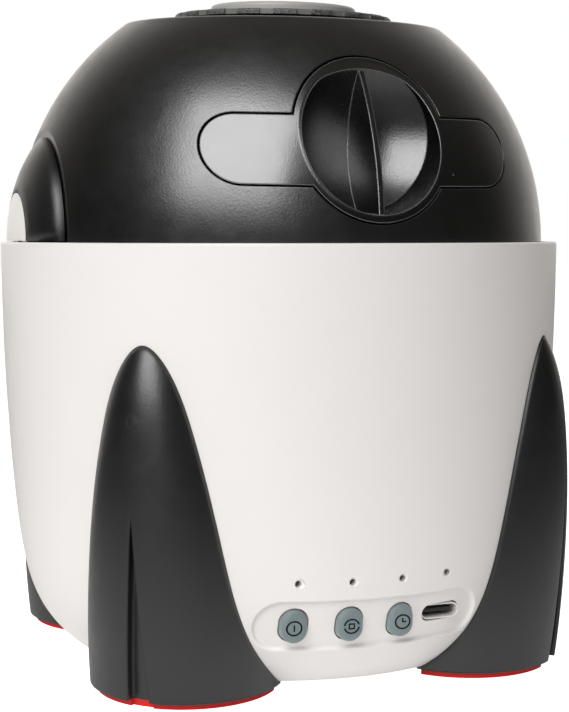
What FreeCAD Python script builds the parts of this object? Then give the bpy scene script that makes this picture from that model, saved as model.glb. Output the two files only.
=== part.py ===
import FreeCAD, Part
import math
import os

# Tabletop star projector: a ball-shaped optical head that tilts between two ear brackets in a white cup
# on four rocket-fin legs. Millimetres, +Z up, origin on the floor under the middle of the cup, front at -Y.

Vector = FreeCAD.Vector
X_AXIS, Y_AXIS, Z_AXIS = Vector(1, 0, 0), Vector(0, 1, 0), Vector(0, 0, 1)
FAR = 400.0                       # longer than anything in the model, for cutting tools
RUN_OUT = 20.0                    # how far an outline runs on past the piece that is cut from it

# ---- driving dimensions: cup ----
RIM_RADIUS = 66.0                 # outside of the cup at its rim
RIM_Z = 96.0                      # rim above the floor; the head tilts about an axis at this height
CUP_BOTTOM_Z = 2.2                # lower edge of the cup above the floor
CUP_TAPER = 6.5                   # how far the side leans in, from rim to lower edge
CUP_TUCK = 10.3                   # further tuck of the rounded lower edge
CUP_TUCK_POWER = 12               # how late the lower edge starts to round
CUP_WALL = 2.0
RIM_ROUND = 0.5
RIB_HALF = 1.0                    # half the thickness of ribs beside screw bosses
BOSS_RADIUS = 3.6
BOSS_END = 1.0                    # closed end of a screw boss beyond its hole

# ---- control panel ----
PANEL_Z = 16.8                    # middle of the recess that holds the buttons
PANEL_HALF_LENGTH = 25.3
PANEL_HALF_HEIGHT = 5.35
PANEL_RECESS = 1.0
PANEL_WALL = 2.2                  # wall left behind the recess
PANEL_MARGIN = 2.0                # thickened wall round the recess
PANEL_EDGE_ROUND, PANEL_FLOOR_ROUND = 0.45, 0.4
BUTTON_X = (-17.3, -5.8, 5.65)
BUTTON_NAMES = ("power_button", "rotation_button", "timer_button")
BUTTON_HALF_WIDTH = 2.8
BUTTON_HALF_HEIGHT = 3.6
BUTTON_PROUD = 1.7                # cap's face in front of the recess at the button's middle
BUTTON_ROUND = 1.1
BUTTON_CLEARANCE = 0.22           # between cap and aperture, all round
BUTTON_TRAVEL = 0.6
BUTTON_FLANGE = 0.8               # retaining flange behind the panel, beyond the aperture
BUTTON_FLANGE_DEPTH = 0.7
BUTTON_STEM_RADIUS = 1.4
USB_X, USB_Z = 16.1, 17.2
USB_HALF_LENGTH, USB_HALF_HEIGHT = 4.47, 1.63   # outside of the metal shell of a USB-C inlet
USB_SHELL = 0.3
USB_CLEARANCE = 0.35              # between the inlet's shell and its cut-out
USB_SETBACK = 0.2                 # mouth behind the recess
USB_DEPTH = 6.2                   # from the mouth to the block that carries the tongue
TONGUE_HALF_WIDTH, TONGUE_HALF_HEIGHT, TONGUE_SETBACK = 3.35, 0.35, 1.2
LED_X0, LED_PITCH, LED_COUNT = -17.25, 11.25, 4
LED_Z = 26.1
LED_HOLE_RADIUS = 0.7
LED_CHAMFER = 0.35
LED_HEIGHT, LED_HALF = 1.0, 0.8
LIGHT_GUIDE_RADIUS = 1.2
LIGHT_GUIDE_BAR = 1.6             # thickness and half height of the bar that joins the guides
LIGHT_GUIDE_BAR_GAP = 2.6         # bar in front of the board
LIGHT_GUIDE_END = 2.0             # bar beyond the outer guides

# ---- control board behind the panel ----
BOARD_INSET = 20.5                # front of the board behind the rim's front
BOARD_THICKNESS = 1.6
BOARD_HALF_WIDTH = 22.0
BOARD_BOTTOM_Z, BOARD_TOP_Z = 11.0, 28.5
SWITCH_HALF = 2.25
SWITCH_HEIGHT = 2.4
PLUNGER_RADIUS = 1.0
PLUNGER_HEIGHT = 0.9
PLUNGER_GAP = BUTTON_TRAVEL + 0.1

# ---- legs ----
LEG_ANGLES = {"front_left": -45, "front_right": 45, "rear_right": 135, "rear_left": -135}
LEG_FOOT_INSET = 18.6             # leg axis inside the rim's radius, at the foot
LEG_FLARE = 0.4                   # wider at the end of the run-out
LEG_LEAN = 11.3                   # degrees, top outwards
LEG_BASE_RADIUS = 21.06
LEG_LENGTH = 76.8                 # along the leaning axis, foot to hidden tip
LEG_POINT_POWER = 1.37            # slenderness of the nose
LEG_WALL = 2.6
LEG_SEAT_GAP = 0.1                # between leg and cup
GROOVE_HALF_WIDTH = 2.5           # of the tapering groove on the crown, at the foot
GROOVE_TOP_Z = 41.5
GROOVE_DEPTH = 2.2
PAD_THICKNESS = 1.5
PAD_INSET = 1.4
FOOT_REACH = 1.0                  # leg and pad run this far in under the cup's lower edge
LEG_SCREW_Z = (30.0, 60.0)
SCREW_SHANK = 1.3
SCREW_HEAD = 2.7
SCREW_HEAD_HEIGHT = 1.7
SCREW_GAP = 0.05                  # between a screw and its hole
SCREW_END_GAP = 0.5               # hole deeper than its screw
CROSS_WIDTH, CROSS_LENGTH = 0.8, 3.6   # driver slots; CROSS_WIDTH is also their depth
SEAT_DEPTH = 0.8                  # boss behind a leg screw's head, inside the cup
LEG_SCREW_BITE = 4.0              # leg screw's reach beyond the cup's surface

# ---- head ----
HEAD_REST_TILT = 3.2              # degrees, top forwards
BALL_GAP = 3.56                   # between the ball and the outside of the rim
BALL_WALL = 2.2
BALL_FLAT_INSET = 9.0             # the ball is cut flat at both ears, this far inside the rim's radius
BALL_FLOOR = 52.0                 # flat underside below the tilt axis
CREASE_RADIUS = 37.0              # where the ball turns into the flat crown
CROWN_RISE = 1.6
CREASE_ROUND = 1.4
BALL_CLEARANCE = 1.0              # inner pieces stay this far inside the ball's wall
SHELL_BOSS_INSET = 11.5           # screw bosses that join the two half shells, inside the ball's radius
SHELL_BOSS_HEIGHT = 12.0
LOWER_BOSS_WALL = 1.5
SHELL_SCREW_SEAT, SHELL_SCREW_LENGTH = -12.0, 20.0
HEAD_CLEARANCE = 0.4              # round a countersunk screw head

# ---- drawer, heights above the tilt axis in the head's own frame ----
TAB_Z = 22.0
TAB_HALF_LENGTH = 35.0
TAB_HALF_HEIGHT = 7.45
GRIP_Z = 24.5
GRIP_RADIUS = 17.4
GRIP_LIP = 1.6
GRIP_WALL_DEPTH = 12.6            # the grip bowl's wall runs straight back to here, from the ball's front
GRIP_CORNER = 0.6                 # rounds into a shallow dome
GRIP_BOWL_DEPTH = 6.3             # dome's middle behind the end of the wall
FIN_THICKNESS = 1.2
FIN_SETBACK = 0.4
DRAWER_GAP = 0.4                  # groove round the drawer front
DRAWER_WALL = 2.6
FRONT_CUT_DEPTH = 18.0            # the cut for the drawer front runs back behind the tray's front
TRAY_Z = 18.0                     # underside of the tray
TRAY_THICKNESS = 2.0
TRAY_HALF_WIDTH = 33.2
TRAY_FRONT_DEPTH, TRAY_REAR_DEPTH = 16.44, 18.44   # inside the ball's radius
TRAY_MIDDLE_GAP = 4.4             # the tray ends here in front of the motor's axis, between its side arms
TRAY_ARM_WIDTH = 5.0
TRAY_TONGUE_LENGTH = 13.0
LUG_HEIGHT = 4.5
LUG_REAR = 9.0                    # lug's rear end behind the front of the tongues
TONGUE_SCREW = 4.0                # screw behind the front of the tongues
TRAY_TONGUE = (19.0, 30.0)        # x range of the two tongues that carry the drawer front
LUG_INSET = 0.5                   # lug narrower than its tongue on each side
SLIDE_GAP = 0.3

# ---- disc drive ----
GEAR_MODULE = 1.0
CARRIER_TEETH = 60
PINION_TEETH = 12
ADDENDUM, DEDENDUM = 0.7, 0.95
TOOTH_THINNING = 0.16             # taken off each tooth's thickness for backlash
PRESSURE_ANGLE = 20.0
CARRIER_THICKNESS = 2.2
CARRIER_COLLAR_RADIUS = 26.4
CARRIER_BORE = 24.0
BEARING_GAP = 0.1
DISC_RADIUS = 26.0
DISC_THICKNESS = 1.2
DISC_GAP = 0.1
DISC_KEY_RADIUS, DISC_KEY_INSET = 1.5, 0.4
MOTOR_RADIUS = 7.5
MOTOR_LENGTH = 17.0
MOTOR_SHAFT = 1.0
MOTOR_BOSS_RADIUS, MOTOR_BOSS_GAP = 3.0, 0.2
MOTOR_TAIL_RADIUS, MOTOR_TAIL = 2.4, 1.5

# ---- optics ----
DECK_THICKNESS = 2.0
RAIL_LIP = 1.8                    # overhang of the rail's lip above the tray
RAIL_WALL, RAIL_LIP_HEIGHT = 2.0, 1.4
RAIL_FRONT_DEPTH, RAIL_REAR_DEPTH = 20.44, 17.94   # inside the ball's radius
POST_X, POST_Y, POST_RADIUS = 38.4, 25.0, 3.0
LENS_DECK_Z, LENS_DECK_MARGIN = 26.5, 3.6
FRAME_SCREW_BITE = 7.0            # reach of the long screws above the lens deck
LENS_TUBE_INNER, LENS_TUBE_WALL = 13.6, 2.0
LENS_TUBE_DROP = 1.15             # top of the lens tube under the focus ring
LENS_FOOT_REACH, LENS_FOOT_HEIGHT = 3.0, 2.0
BARREL_WALL = 1.8
BARREL_BOTTOM = 31.0
BARREL_LEDGE, LENS_OVERLAP = 1.2, 1.5   # height of the ledges that hold the lenses, and their overlap
RING_RADIUS = 25.5
RING_SINK, RING_HEIGHT = 0.15, 1.2     # ring sunk into the crown, and its height
RING_CHAMFER = 0.35
RING_GRIPS = 19
RING_GRIP_DEPTH = 0.7
RING_GRIP_SHARE = 0.38            # share of each grip's pitch that is cut away
RING_SLEEVE = 7.75                # length of the sleeve under the ring
RING_SLEEVE_WALL = 1.9
BEZEL_RADIUS = 17.1
BEZEL_GAP, BEZEL_HEIGHT = 0.25, 2.1
BEZEL_ROUND = 0.9
MOUTH_INNER, MOUTH_OUTER = -0.8, 2.2    # bezel's conical mouth against the front lens, at bottom and top
LENS_RIM = 2.6
FRONT_LENS_RADIUS, FRONT_LENS_CROWN = 10.5, 1.8
FRONT_LENS_SETBACK = 3.0          # seat of the front lens below the barrel's top
REAR_LENS_RADIUS, REAR_LENS_CROWN, REAR_LENS_HOLLOW = 11.5, 1.6, 0.9
REAR_LENS_RISE, REAR_LEDGE_GAP = 1.0, 0.6
LENS_SEAT_GAP = 0.05
LAMP_INNER, LAMP_WALL = 15.0, 2.0
LAMP_BOTTOM = -9.0
LAMP_FLANGE, LAMP_FLANGE_REACH, LAMP_LEDGE = 2.0, 2.5, 2.2
LAMP_SCREW_ANGLES, LAMP_SCREW_GAP = (-30, 150, 210), 0.6
LAMP_SCREW_LENGTH = 3.6
CONDENSER_Z, CONDENSER_RIM, CONDENSER_CROWN = 1.5, 2.0, 6.0
LED_PACKAGE_HALF, LED_PACKAGE_HEIGHT, LED_DOME_RADIUS = 1.75, 0.7, 1.3
LED_BOARD_RADIUS, LED_BOARD_THICKNESS = 12.0, 1.6
HEAT_SINK_RADIUS, HEAT_SINK_BASE, HEAT_SINK_BOTTOM = 17.0, 3.0, -30.0
FIN_COUNT, FIN_PITCH, HEAT_FIN = 9, 3.6, 1.2

# ---- tilt bearings and ears, x measured outwards ----
ARM_GAP, ARM_THICKNESS = 0.8, 3.4      # gap between the ball's flat and the arm
ARM_HEAD_RADIUS = 13.2
ARM_HALF_WIDTH = 13.0
HUB_SHAFT_RADIUS = 6.0
HUB_FLANGE_RADIUS = 12.0
HUB_FLANGE = 3.0
HUB_PROUD = 0.2                   # shaft's end beyond the arm
RUNNING_GAP = 0.06
PIVOT_WASHER_RADIUS, PIVOT_WASHER = 8.5, 1.2
PIVOT_SCREW_LENGTH, PIVOT_CROSS_LENGTH, PIVOT_CROSS_WIDTH = 8.0, 4.8, 1.0
EAR_RADIUS = 23.7
EAR_SIDE_GAP = 0.4                # edge of the ear cover beside the ball's flat
EAR_MIDDLE_RISE, EAR_EDGE_RISE = 3.7, 6.05   # dome above its edge, halfway and beside the cap
EAR_BULGE = 0.3                   # halfway point outside the middle of the two radii
CAP_RADIUS, CAP_RISE = 11.1, 1.45
EAR_WALL = 1.2
EAR_GAP = 0.15                    # between ear cover and cap
EAR_SEAT_WIDTH = 2.3              # ring under the cover that stands on the arm, outside the cap's radius
EAR_SEAT_OVERLAP = 0.2
CAP_LEDGE = 2.0                   # width of the ledge that the cap stands on
CAP_SHOULDER, CAP_SHOULDER_DROP = 0.62, 0.45   # share of the cap's radius, and its fall there
CAP_HOLLOW_GAP = 0.4              # cap clear of the pivot screw
EAR_LIFT = 0.3                    # ear above the rim

# ---- yoke, bottom cover and what stands on it ----
YOKE_Z, YOKE_THICKNESS = 36.0, 4.0
YOKE_INNER_INSET = 17.0           # ring's bore inside the rim's radius
YOKE_WALL_GAP = 0.4
GUSSET_HALF, GUSSET_HEIGHT, GUSSET_INSET = 1.5, 16.0, 3.0
YOKE_SCREW_LENGTH = 12.0
YOKE_POST_LENGTH = 22.0
POST_ANGLES = (-115, -65, 65, 115)
YOKE_POST_INSET, YOKE_POST_R = 10.0, 4.0     # posts inside the rim's radius, and their own radius
COVER_LIP_INSET, COVER_LIP = 1.5, 0.4
COVER_BOSS_INSET, COVER_BOSS_HEIGHT = 3.7, 9.0   # bosses inside the lip's radius
COVER_SPIGOT = 3.0
COVER_FIT = 0.3
COVER_RIBS = 48
COVER_RIB_GAP, COVER_RIB_LENGTH = 2.2, 6.0
CELL_RADIUS, CELL_LENGTH, CELL_PITCH = 9.15, 65.0, 20.0
CELL_BUTTON_RADIUS, CELL_BUTTON = 3.0, 1.6
HOLDER_WALL, HOLDER_END_RISE = 2.0, 5.5
MAIN_BOARD_HALF, MAIN_BOARD_DEPTH = 25.0, 19.0
MAIN_BOARD_GAP = 2.75             # between the board and the battery holder
MAIN_BOARD_Z = 9.5
SPACER_RADIUS, SPACER_INSET = 2.2, 3.0
BOARD_BLOCKS = ((-6, 4, 5, 13, 1.6), (-20, -12, 4, 12, 4.0), (9, 21, 1, 7, 6.0))   # x range, y range, height
CAPACITOR_X, CAPACITOR_INSET = (-16.0, 12.0), 3.8
CAPACITOR_RADIUS, CAPACITOR_HEIGHT = 3.2, 9.0

# ---- sizes that follow from the ones above ----
CUP_DEPTH = RIM_Z - CUP_BOTTOM_Z
CUP_FOOT_RADIUS = RIM_RADIUS - CUP_TAPER - CUP_TUCK
BOARD_FRONT_Y = BOARD_INSET - RIM_RADIUS
LEG_FOOT_RADIUS = RIM_RADIUS - LEG_FOOT_INSET
BALL_RADIUS = RIM_RADIUS - BALL_GAP
BALL_FLAT_X = RIM_RADIUS - BALL_FLAT_INSET
BALL_INNER = BALL_RADIUS - BALL_WALL
CREASE_Z = math.sqrt(BALL_RADIUS ** 2 - CREASE_RADIUS ** 2)
SHELL_BOSS_XY = (BALL_RADIUS - SHELL_BOSS_INSET) / math.sqrt(2)
GRIP_WALL_Y = GRIP_WALL_DEPTH - BALL_RADIUS
TRAY_FRONT_Y = TRAY_FRONT_DEPTH - BALL_RADIUS
TRAY_REAR_Y = BALL_RADIUS - TRAY_REAR_DEPTH
FRONT_CUT_Y = TRAY_FRONT_Y + FRONT_CUT_DEPTH
RAIL_FRONT_Y = RAIL_FRONT_DEPTH - BALL_RADIUS
RAIL_REAR_Y = BALL_RADIUS - RAIL_REAR_DEPTH
RING_BOTTOM = CREASE_Z + CROWN_RISE - RING_SINK
RING_TOP = RING_BOTTOM + RING_HEIGHT
RING_SLEEVE_BOTTOM = RING_BOTTOM - RING_SLEEVE
LENS_TUBE_TOP = RING_BOTTOM - LENS_TUBE_DROP
BEZEL_BOTTOM = RING_TOP + BEZEL_GAP
BEZEL_TOP = BEZEL_BOTTOM + BEZEL_HEIGHT
FLAT_INNER_X = BALL_FLAT_X - BALL_WALL
CARRIER_PITCH_RADIUS = GEAR_MODULE * CARRIER_TEETH / 2
PINION_PITCH_RADIUS = GEAR_MODULE * PINION_TEETH / 2
PINION_Y = CARRIER_PITCH_RADIUS + PINION_PITCH_RADIUS
TRAY_MIDDLE_REAR_Y = PINION_Y - TRAY_MIDDLE_GAP
TRAY_TOP = TRAY_Z + TRAY_THICKNESS
CARRIER_Z = TRAY_TOP + BEARING_GAP
CARRIER_TOP = CARRIER_Z + CARRIER_THICKNESS
DECK_TOP = TRAY_Z - SLIDE_GAP
DECK_BOTTOM = DECK_TOP - DECK_THICKNESS
RAIL_INNER_X = TRAY_HALF_WIDTH + SLIDE_GAP
BOARD_REAR_Y = BOARD_FRONT_Y + BOARD_THICKNESS
LENS_TUBE_OUTER = LENS_TUBE_INNER + LENS_TUBE_WALL
BARREL_OUTER = LENS_TUBE_INNER - BEARING_GAP
BARREL_INNER = BARREL_OUTER - BARREL_WALL
RING_BORE = LENS_TUBE_OUTER + BEARING_GAP
RING_SLEEVE_OUTER = RING_BORE + RING_SLEEVE_WALL
RAIL_OUTER_X = RAIL_INNER_X + RAIL_WALL
ARM_INNER_X = BALL_FLAT_X + ARM_GAP
ARM_OUTER_X = ARM_INNER_X + ARM_THICKNESS
HUB_END_X = ARM_OUTER_X + HUB_PROUD
EAR_EDGE_X = BALL_FLAT_X + EAR_SIDE_GAP
EAR_MIDDLE_X = EAR_EDGE_X + EAR_MIDDLE_RISE
EAR_MIDDLE_RADIUS = (EAR_RADIUS + CAP_RADIUS) / 2 + EAR_BULGE
CAP_EDGE_X = EAR_EDGE_X + EAR_EDGE_RISE
CAP_TOP_X = CAP_EDGE_X + CAP_RISE
EAR_SEAT_RADIUS = CAP_RADIUS + EAR_SEAT_WIDTH
YOKE_INNER_RADIUS = RIM_RADIUS - YOKE_INNER_INSET
YOKE_POST_RADIUS = RIM_RADIUS - YOKE_POST_INSET
COVER_LIP_RADIUS = CUP_FOOT_RADIUS - COVER_LIP_INSET
COVER_BOSS_R = COVER_LIP_RADIUS - COVER_BOSS_INSET
COVER_TOP_Z = CUP_BOTTOM_Z + COVER_SPIGOT
HOLDER_SIDE = CELL_PITCH / 2 + CELL_RADIUS + BEARING_GAP + HOLDER_WALL
COVER_BOSS_TOP = COVER_TOP_Z + COVER_BOSS_HEIGHT
SCREW_HOLE = SCREW_SHANK + SCREW_GAP
TONGUE_X = sum(TRAY_TONGUE) / 2
TONGUE_SCREW_Y = TRAY_FRONT_Y + TONGUE_SCREW
REAR_LENS_Z = BARREL_BOTTOM + REAR_LENS_RISE
FRONT_LENS_Z = BEZEL_BOTTOM - FRONT_LENS_SETBACK


# ---- plain shapes ----
def box(x0, x1, y0, y1, z0, z1):
    return Part.makeBox(x1 - x0, y1 - y0, z1 - z0, Vector(x0, y0, z0))


def rod_z(radius, z0, z1, x=0, y=0):
    return Part.makeCylinder(radius, z1 - z0, Vector(x, y, z0), Z_AXIS)


def rod_x(radius, x0, x1, y=0, z=0):
    return Part.makeCylinder(radius, x1 - x0, Vector(x0, y, z), X_AXIS)


def rod_y(radius, y0, y1, x=0, z=0):
    return Part.makeCylinder(radius, y1 - y0, Vector(x, y0, z), Y_AXIS)


def tube_z(outer, inner, z0, z1, x=0, y=0):
    return rod_z(outer, z0, z1, x, y).cut(rod_z(inner, z0 - 1, z1 + 1, x, y))


def stadium_y(half_length, half_height, y0, y1, x=0, z=0):
    """Bar along Y with a stadium section that lies flat, or stands up if it is higher than long."""
    radius = min(half_length, half_height)
    along_x = max(half_length - radius, 0)
    along_z = max(half_height - radius, 0)
    ends = [rod_y(radius, y0, y1, x + s * along_x, z + s * along_z) for s in (-1, 1)]
    if along_x > 0:
        middle = box(x - along_x, x + along_x, y0, y1, z - radius, z + radius)
    else:
        middle = box(x - radius, x + radius, y0, y1, z - along_z, z + along_z)
    return middle.fuse(ends).removeSplitter()


def cone_y(r0, r1, y0, y1, x, z):
    return Part.makeCone(r0, r1, y1 - y0, Vector(x, y0, z), Y_AXIS)


def revolved(edges, base, direction):
    """Solid swept by a closed outline turned once round an axis."""
    return Part.Face(Part.Wire(edges)).revolve(base, direction, 360)


def polygon_edges(points):
    return [Part.LineSegment(a, b).toShape() for a, b in zip(points, points[1:])]


def spline_edge(points, first_tangent=None, last_tangent=None):
    curve = Part.BSplineCurve()
    if first_tangent is None:
        curve.interpolate(points)
    else:
        curve.interpolate(Points=points, InitialTangent=first_tangent, FinalTangent=last_tangent)
    return curve.toShape()


def turned(shape, angle, direction=Z_AXIS, centre=Vector(0, 0, 0)):
    copy = shape.copy()
    copy.rotate(centre, direction, angle)
    return copy


def mirrored(shape):
    return shape.mirror(Vector(0, 0, 0), X_AXIS)


def united(shapes):
    return shapes[0].fuse(shapes[1:]).removeSplitter() if len(shapes) > 1 else shapes[0]


os.makedirs("parts", exist_ok=True)


def export(name, shape):
    shape.exportStep("parts/" + name + ".step")


def export_head(name, shape):
    """Head pieces are drawn level, with the tilt axis at z = 0, then lifted and tipped forwards."""
    placed = shape.copy()
    placed.rotate(Vector(0, 0, 0), X_AXIS, HEAD_REST_TILT)
    placed.translate(Vector(0, 0, RIM_Z))
    export(name, placed)


# ---- cup ----
def cup_radius(z, inset=0.0):
    share = (RIM_Z - z) / CUP_DEPTH
    return RIM_RADIUS - inset - CUP_TAPER * share ** 2 - CUP_TUCK * share ** CUP_TUCK_POWER


def cup_plug(inset=0.0):
    """Solid of the cup's outline, moved inwards by inset and carried on straight past rim and foot."""
    shares = (0, 0.25, 0.5, 0.7, 0.82, 0.9, 0.96, 1)
    heights = [RIM_Z - share * CUP_DEPTH for share in shares]
    side = [Vector(cup_radius(z, inset), 0, z) for z in heights]
    top_z, foot_z = RIM_Z + RUN_OUT, CUP_BOTTOM_Z - RUN_OUT
    top = [Vector(0, 0, top_z), Vector(side[0].x, 0, top_z), side[0]]
    foot = [side[-1], Vector(side[-1].x, 0, foot_z), Vector(0, 0, foot_z)]
    edges = polygon_edges(top) + [spline_edge(side)] + polygon_edges(foot + [top[0]])
    return revolved(edges, Vector(0, 0, 0), Z_AXIS)


def panel_y(x, z, inset):
    """Front surface of the cup at x and z, moved inwards by inset."""
    return -math.sqrt(cup_radius(z, inset) ** 2 - x ** 2)


def panel_edges(shape, depth):
    """Long edges of the recess at this depth below the cup's surface."""
    edges = []
    for edge in shape.Edges:
        bounds = edge.BoundBox
        beside = bounds.YMax < -RIM_RADIUS / 2 and edge.Length > 3
        level = max(bounds.ZMax - PANEL_Z, PANEL_Z - bounds.ZMin) < PANEL_HALF_HEIGHT + 0.1
        middle = edge.valueAt((edge.FirstParameter + edge.LastParameter) / 2)
        if beside and level and abs(cup_radius(middle.z) - math.hypot(middle.x, middle.y) - depth) < 0.1:
            edges.append(edge)
    return edges


def make_cup():
    slab = box(-FAR, FAR, -FAR, FAR, CUP_BOTTOM_Z, RIM_Z)
    outer = cup_plug().common(slab)
    rim = [e for e in outer.Edges if abs(e.BoundBox.ZMin - RIM_Z) < 0.01 and e.BoundBox.ZLength < 0.01]
    outer = outer.makeFillet(RIM_ROUND, rim)
    recess = stadium_y(PANEL_HALF_LENGTH, PANEL_HALF_HEIGHT, -FAR, 0, 0, PANEL_Z)
    outer = outer.cut(recess.cut(cup_plug(PANEL_RECESS)))
    outer = outer.makeFillet(PANEL_EDGE_ROUND, panel_edges(outer, 0))
    outer = outer.makeFillet(PANEL_FLOOR_ROUND, panel_edges(outer, PANEL_RECESS))
    backing = stadium_y(PANEL_HALF_LENGTH + PANEL_MARGIN, PANEL_HALF_HEIGHT + PANEL_MARGIN,
                        -FAR, 0, 0, PANEL_Z)
    cavity = cup_plug(CUP_WALL).cut(backing.cut(cup_plug(PANEL_RECESS + PANEL_WALL)))
    shell = outer.cut(cavity)
    cuts = []
    for x in BUTTON_X:
        cuts.append(stadium_y(BUTTON_HALF_WIDTH + BUTTON_CLEARANCE, BUTTON_HALF_HEIGHT + BUTTON_CLEARANCE,
                              -FAR, 0, x, PANEL_Z))
    cuts.append(stadium_y(USB_HALF_LENGTH + USB_CLEARANCE, USB_HALF_HEIGHT + USB_CLEARANCE,
                          -FAR, 0, USB_X, USB_Z))
    for x in led_places():
        mouth_y = panel_y(x, LED_Z, 0)
        wide = LED_HOLE_RADIUS + LED_CHAMFER
        hole = rod_y(LED_HOLE_RADIUS, -FAR, -BOARD_HALF_WIDTH, x, LED_Z)
        cuts.append(hole.fuse(cone_y(wide + LED_CHAMFER, LED_HOLE_RADIUS, mouth_y - LED_CHAMFER,
                                     mouth_y + LED_CHAMFER, x, LED_Z)))
    bosses = []
    for angle in LEG_ANGLES.values():
        for z in LEG_SCREW_Z:
            seat = screw_seat_radius(z)
            boss = rod_y(BOSS_RADIUS, -cup_radius(z) - BOSS_RADIUS, -seat, 0, z)
            hole = rod_y(SCREW_HOLE, -FAR, 0, 0, z)
            bosses.append(turned(boss, angle))
            cuts.append(turned(hole, angle))
        rib = box(-RIB_HALF, RIB_HALF, -RIM_RADIUS, -COVER_BOSS_R, COVER_TOP_Z, COVER_BOSS_TOP)
        boss = rod_z(BOSS_RADIUS, COVER_TOP_Z, COVER_BOSS_TOP, 0, -COVER_BOSS_R)
        bosses.append(turned(rib.fuse(boss), angle))
        cuts.append(turned(rod_z(SCREW_HOLE, 0, COVER_BOSS_TOP - BOSS_END, 0, -COVER_BOSS_R), angle))
    for angle in POST_ANGLES:
        foot_z = YOKE_Z - YOKE_POST_LENGTH
        hole_z = YOKE_Z + YOKE_THICKNESS - YOKE_SCREW_LENGTH - SCREW_END_GAP
        post = rod_z(YOKE_POST_R, foot_z, YOKE_Z, 0, -YOKE_POST_RADIUS)
        web = box(-RIB_HALF, RIB_HALF, -RIM_RADIUS, -YOKE_POST_RADIUS, foot_z, YOKE_Z)
        bosses.append(turned(post.fuse(web), angle))
        cuts.append(turned(rod_z(SCREW_HOLE, hole_z, YOKE_Z + 1, 0, -YOKE_POST_RADIUS), angle))
    inside = united(bosses).common(cup_plug(CUP_WALL / 2)).common(slab)
    return shell.fuse(inside).cut(cuts).removeSplitter()


def screw_seat_radius(z):
    """Flat seat inside the cup for the head of a leg screw."""
    return cup_radius(z - BOSS_RADIUS, CUP_WALL) - SEAT_DEPTH


def led_places():
    return [LED_X0 + i * LED_PITCH for i in range(LED_COUNT)]


# ---- legs and foot pads, drawn at the front and turned to their places ----
def leg_bullet(inset=0.0):
    """Bullet-shaped solid on an axis that leans outwards; the foot end runs on below the floor."""
    base, length = LEG_BASE_RADIUS - inset, LEG_LENGTH - 1.5 * inset
    shares = (0, 0.15, 0.35, 0.55, 0.75, 0.9, 0.97)
    side = [Vector(base * math.sqrt(1 - share ** LEG_POINT_POWER), 0, share * length) for share in shares]
    tip = Vector(0, 0, length)
    nose = spline_edge(side + [tip], Vector(-0.04, 0, 1), Vector(-1, 0, 0))
    skirt = [tip, Vector(0, 0, -RUN_OUT), Vector(base + LEG_FLARE, 0, -RUN_OUT), side[0]]
    bullet = revolved([nose] + polygon_edges(skirt), Vector(0, 0, 0), Z_AXIS)
    bullet.rotate(Vector(0, 0, 0), X_AXIS, LEG_LEAN)
    bullet.translate(Vector(0, -LEG_FOOT_RADIUS, CUP_BOTTOM_Z))
    return bullet


def make_leg_and_pad():
    body = leg_bullet()
    beside_cup = cup_plug(-LEG_SEAT_GAP).common(box(-FAR, FAR, -FAR, FAR, CUP_BOTTOM_Z - LEG_SEAT_GAP, FAR))
    beside_cup = beside_cup.fuse(rod_z(CUP_FOOT_RADIUS - FOOT_REACH, -RUN_OUT, CUP_BOTTOM_Z))
    corners = [Vector(-GROOVE_HALF_WIDTH, 0, CUP_BOTTOM_Z), Vector(GROOVE_HALF_WIDTH, 0, CUP_BOTTOM_Z),
               Vector(0, 0, GROOVE_TOP_Z)]
    spread = GROOVE_HALF_WIDTH / (GROOVE_TOP_Z - CUP_BOTTOM_Z) * RUN_OUT
    corners[0] += Vector(-spread, 0, -RUN_OUT)
    corners[1] += Vector(spread, 0, -RUN_OUT)
    wedge = Part.Face(Part.makePolygon(corners + [corners[0]])).extrude(Vector(0, -FAR, 0))
    groove = body.cut(leg_bullet(GROOVE_DEPTH)).common(wedge)
    above = box(-FAR, FAR, -FAR, 0, PAD_THICKNESS, RIM_Z)
    groove_wall = box(-GROOVE_HALF_WIDTH - LEG_WALL, GROOVE_HALF_WIDTH + LEG_WALL, -FAR, 0, 0, GROOVE_TOP_Z)
    hollow = leg_bullet(LEG_WALL).common(box(-FAR, FAR, -FAR, 0, CUP_BOTTOM_Z + LEG_WALL, RIM_Z))
    hollow = hollow.cut(leg_bullet(LEG_WALL).cut(leg_bullet(GROOVE_DEPTH + LEG_WALL)).common(groove_wall))
    outside = body.common(above)
    leg = outside.cut(hollow)
    for z in LEG_SCREW_Z:
        boss = rod_y(BOSS_RADIUS, -FAR, 0, 0, z).common(outside)
        leg = leg.fuse(boss)
    leg = leg.cut(groove).cut(beside_cup)
    for z in LEG_SCREW_Z:
        leg = leg.cut(rod_y(SCREW_HOLE, -cup_radius(z) - LEG_SCREW_BITE - SCREW_END_GAP, 0, 0, z))
    pad_body = leg_bullet(PAD_INSET).common(box(-FAR, FAR, -FAR, 0, 0, PAD_THICKNESS))
    pad = pad_body.cut(groove).cut(beside_cup)
    return leg.removeSplitter(), pad


def pan_screw(length, seat, direction):
    """Screw whose head sits on seat, with its shank along direction."""
    head = Part.makeCylinder(SCREW_HEAD, SCREW_HEAD_HEIGHT, seat, direction * -1)
    shank = Part.makeCylinder(SCREW_SHANK, length, seat, direction)
    corner = Vector(-CROSS_WIDTH / 2, -CROSS_LENGTH / 2, 0)
    slot = Part.makeBox(CROSS_WIDTH, CROSS_LENGTH, CROSS_WIDTH, corner)
    cross = slot.fuse(turned(slot, 90))
    cross.Placement = FreeCAD.Placement(seat - direction * (SCREW_HEAD_HEIGHT + 0.01),
                                        FreeCAD.Rotation(Z_AXIS, direction))
    return head.fuse(shank).cut(cross).removeSplitter()


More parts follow.
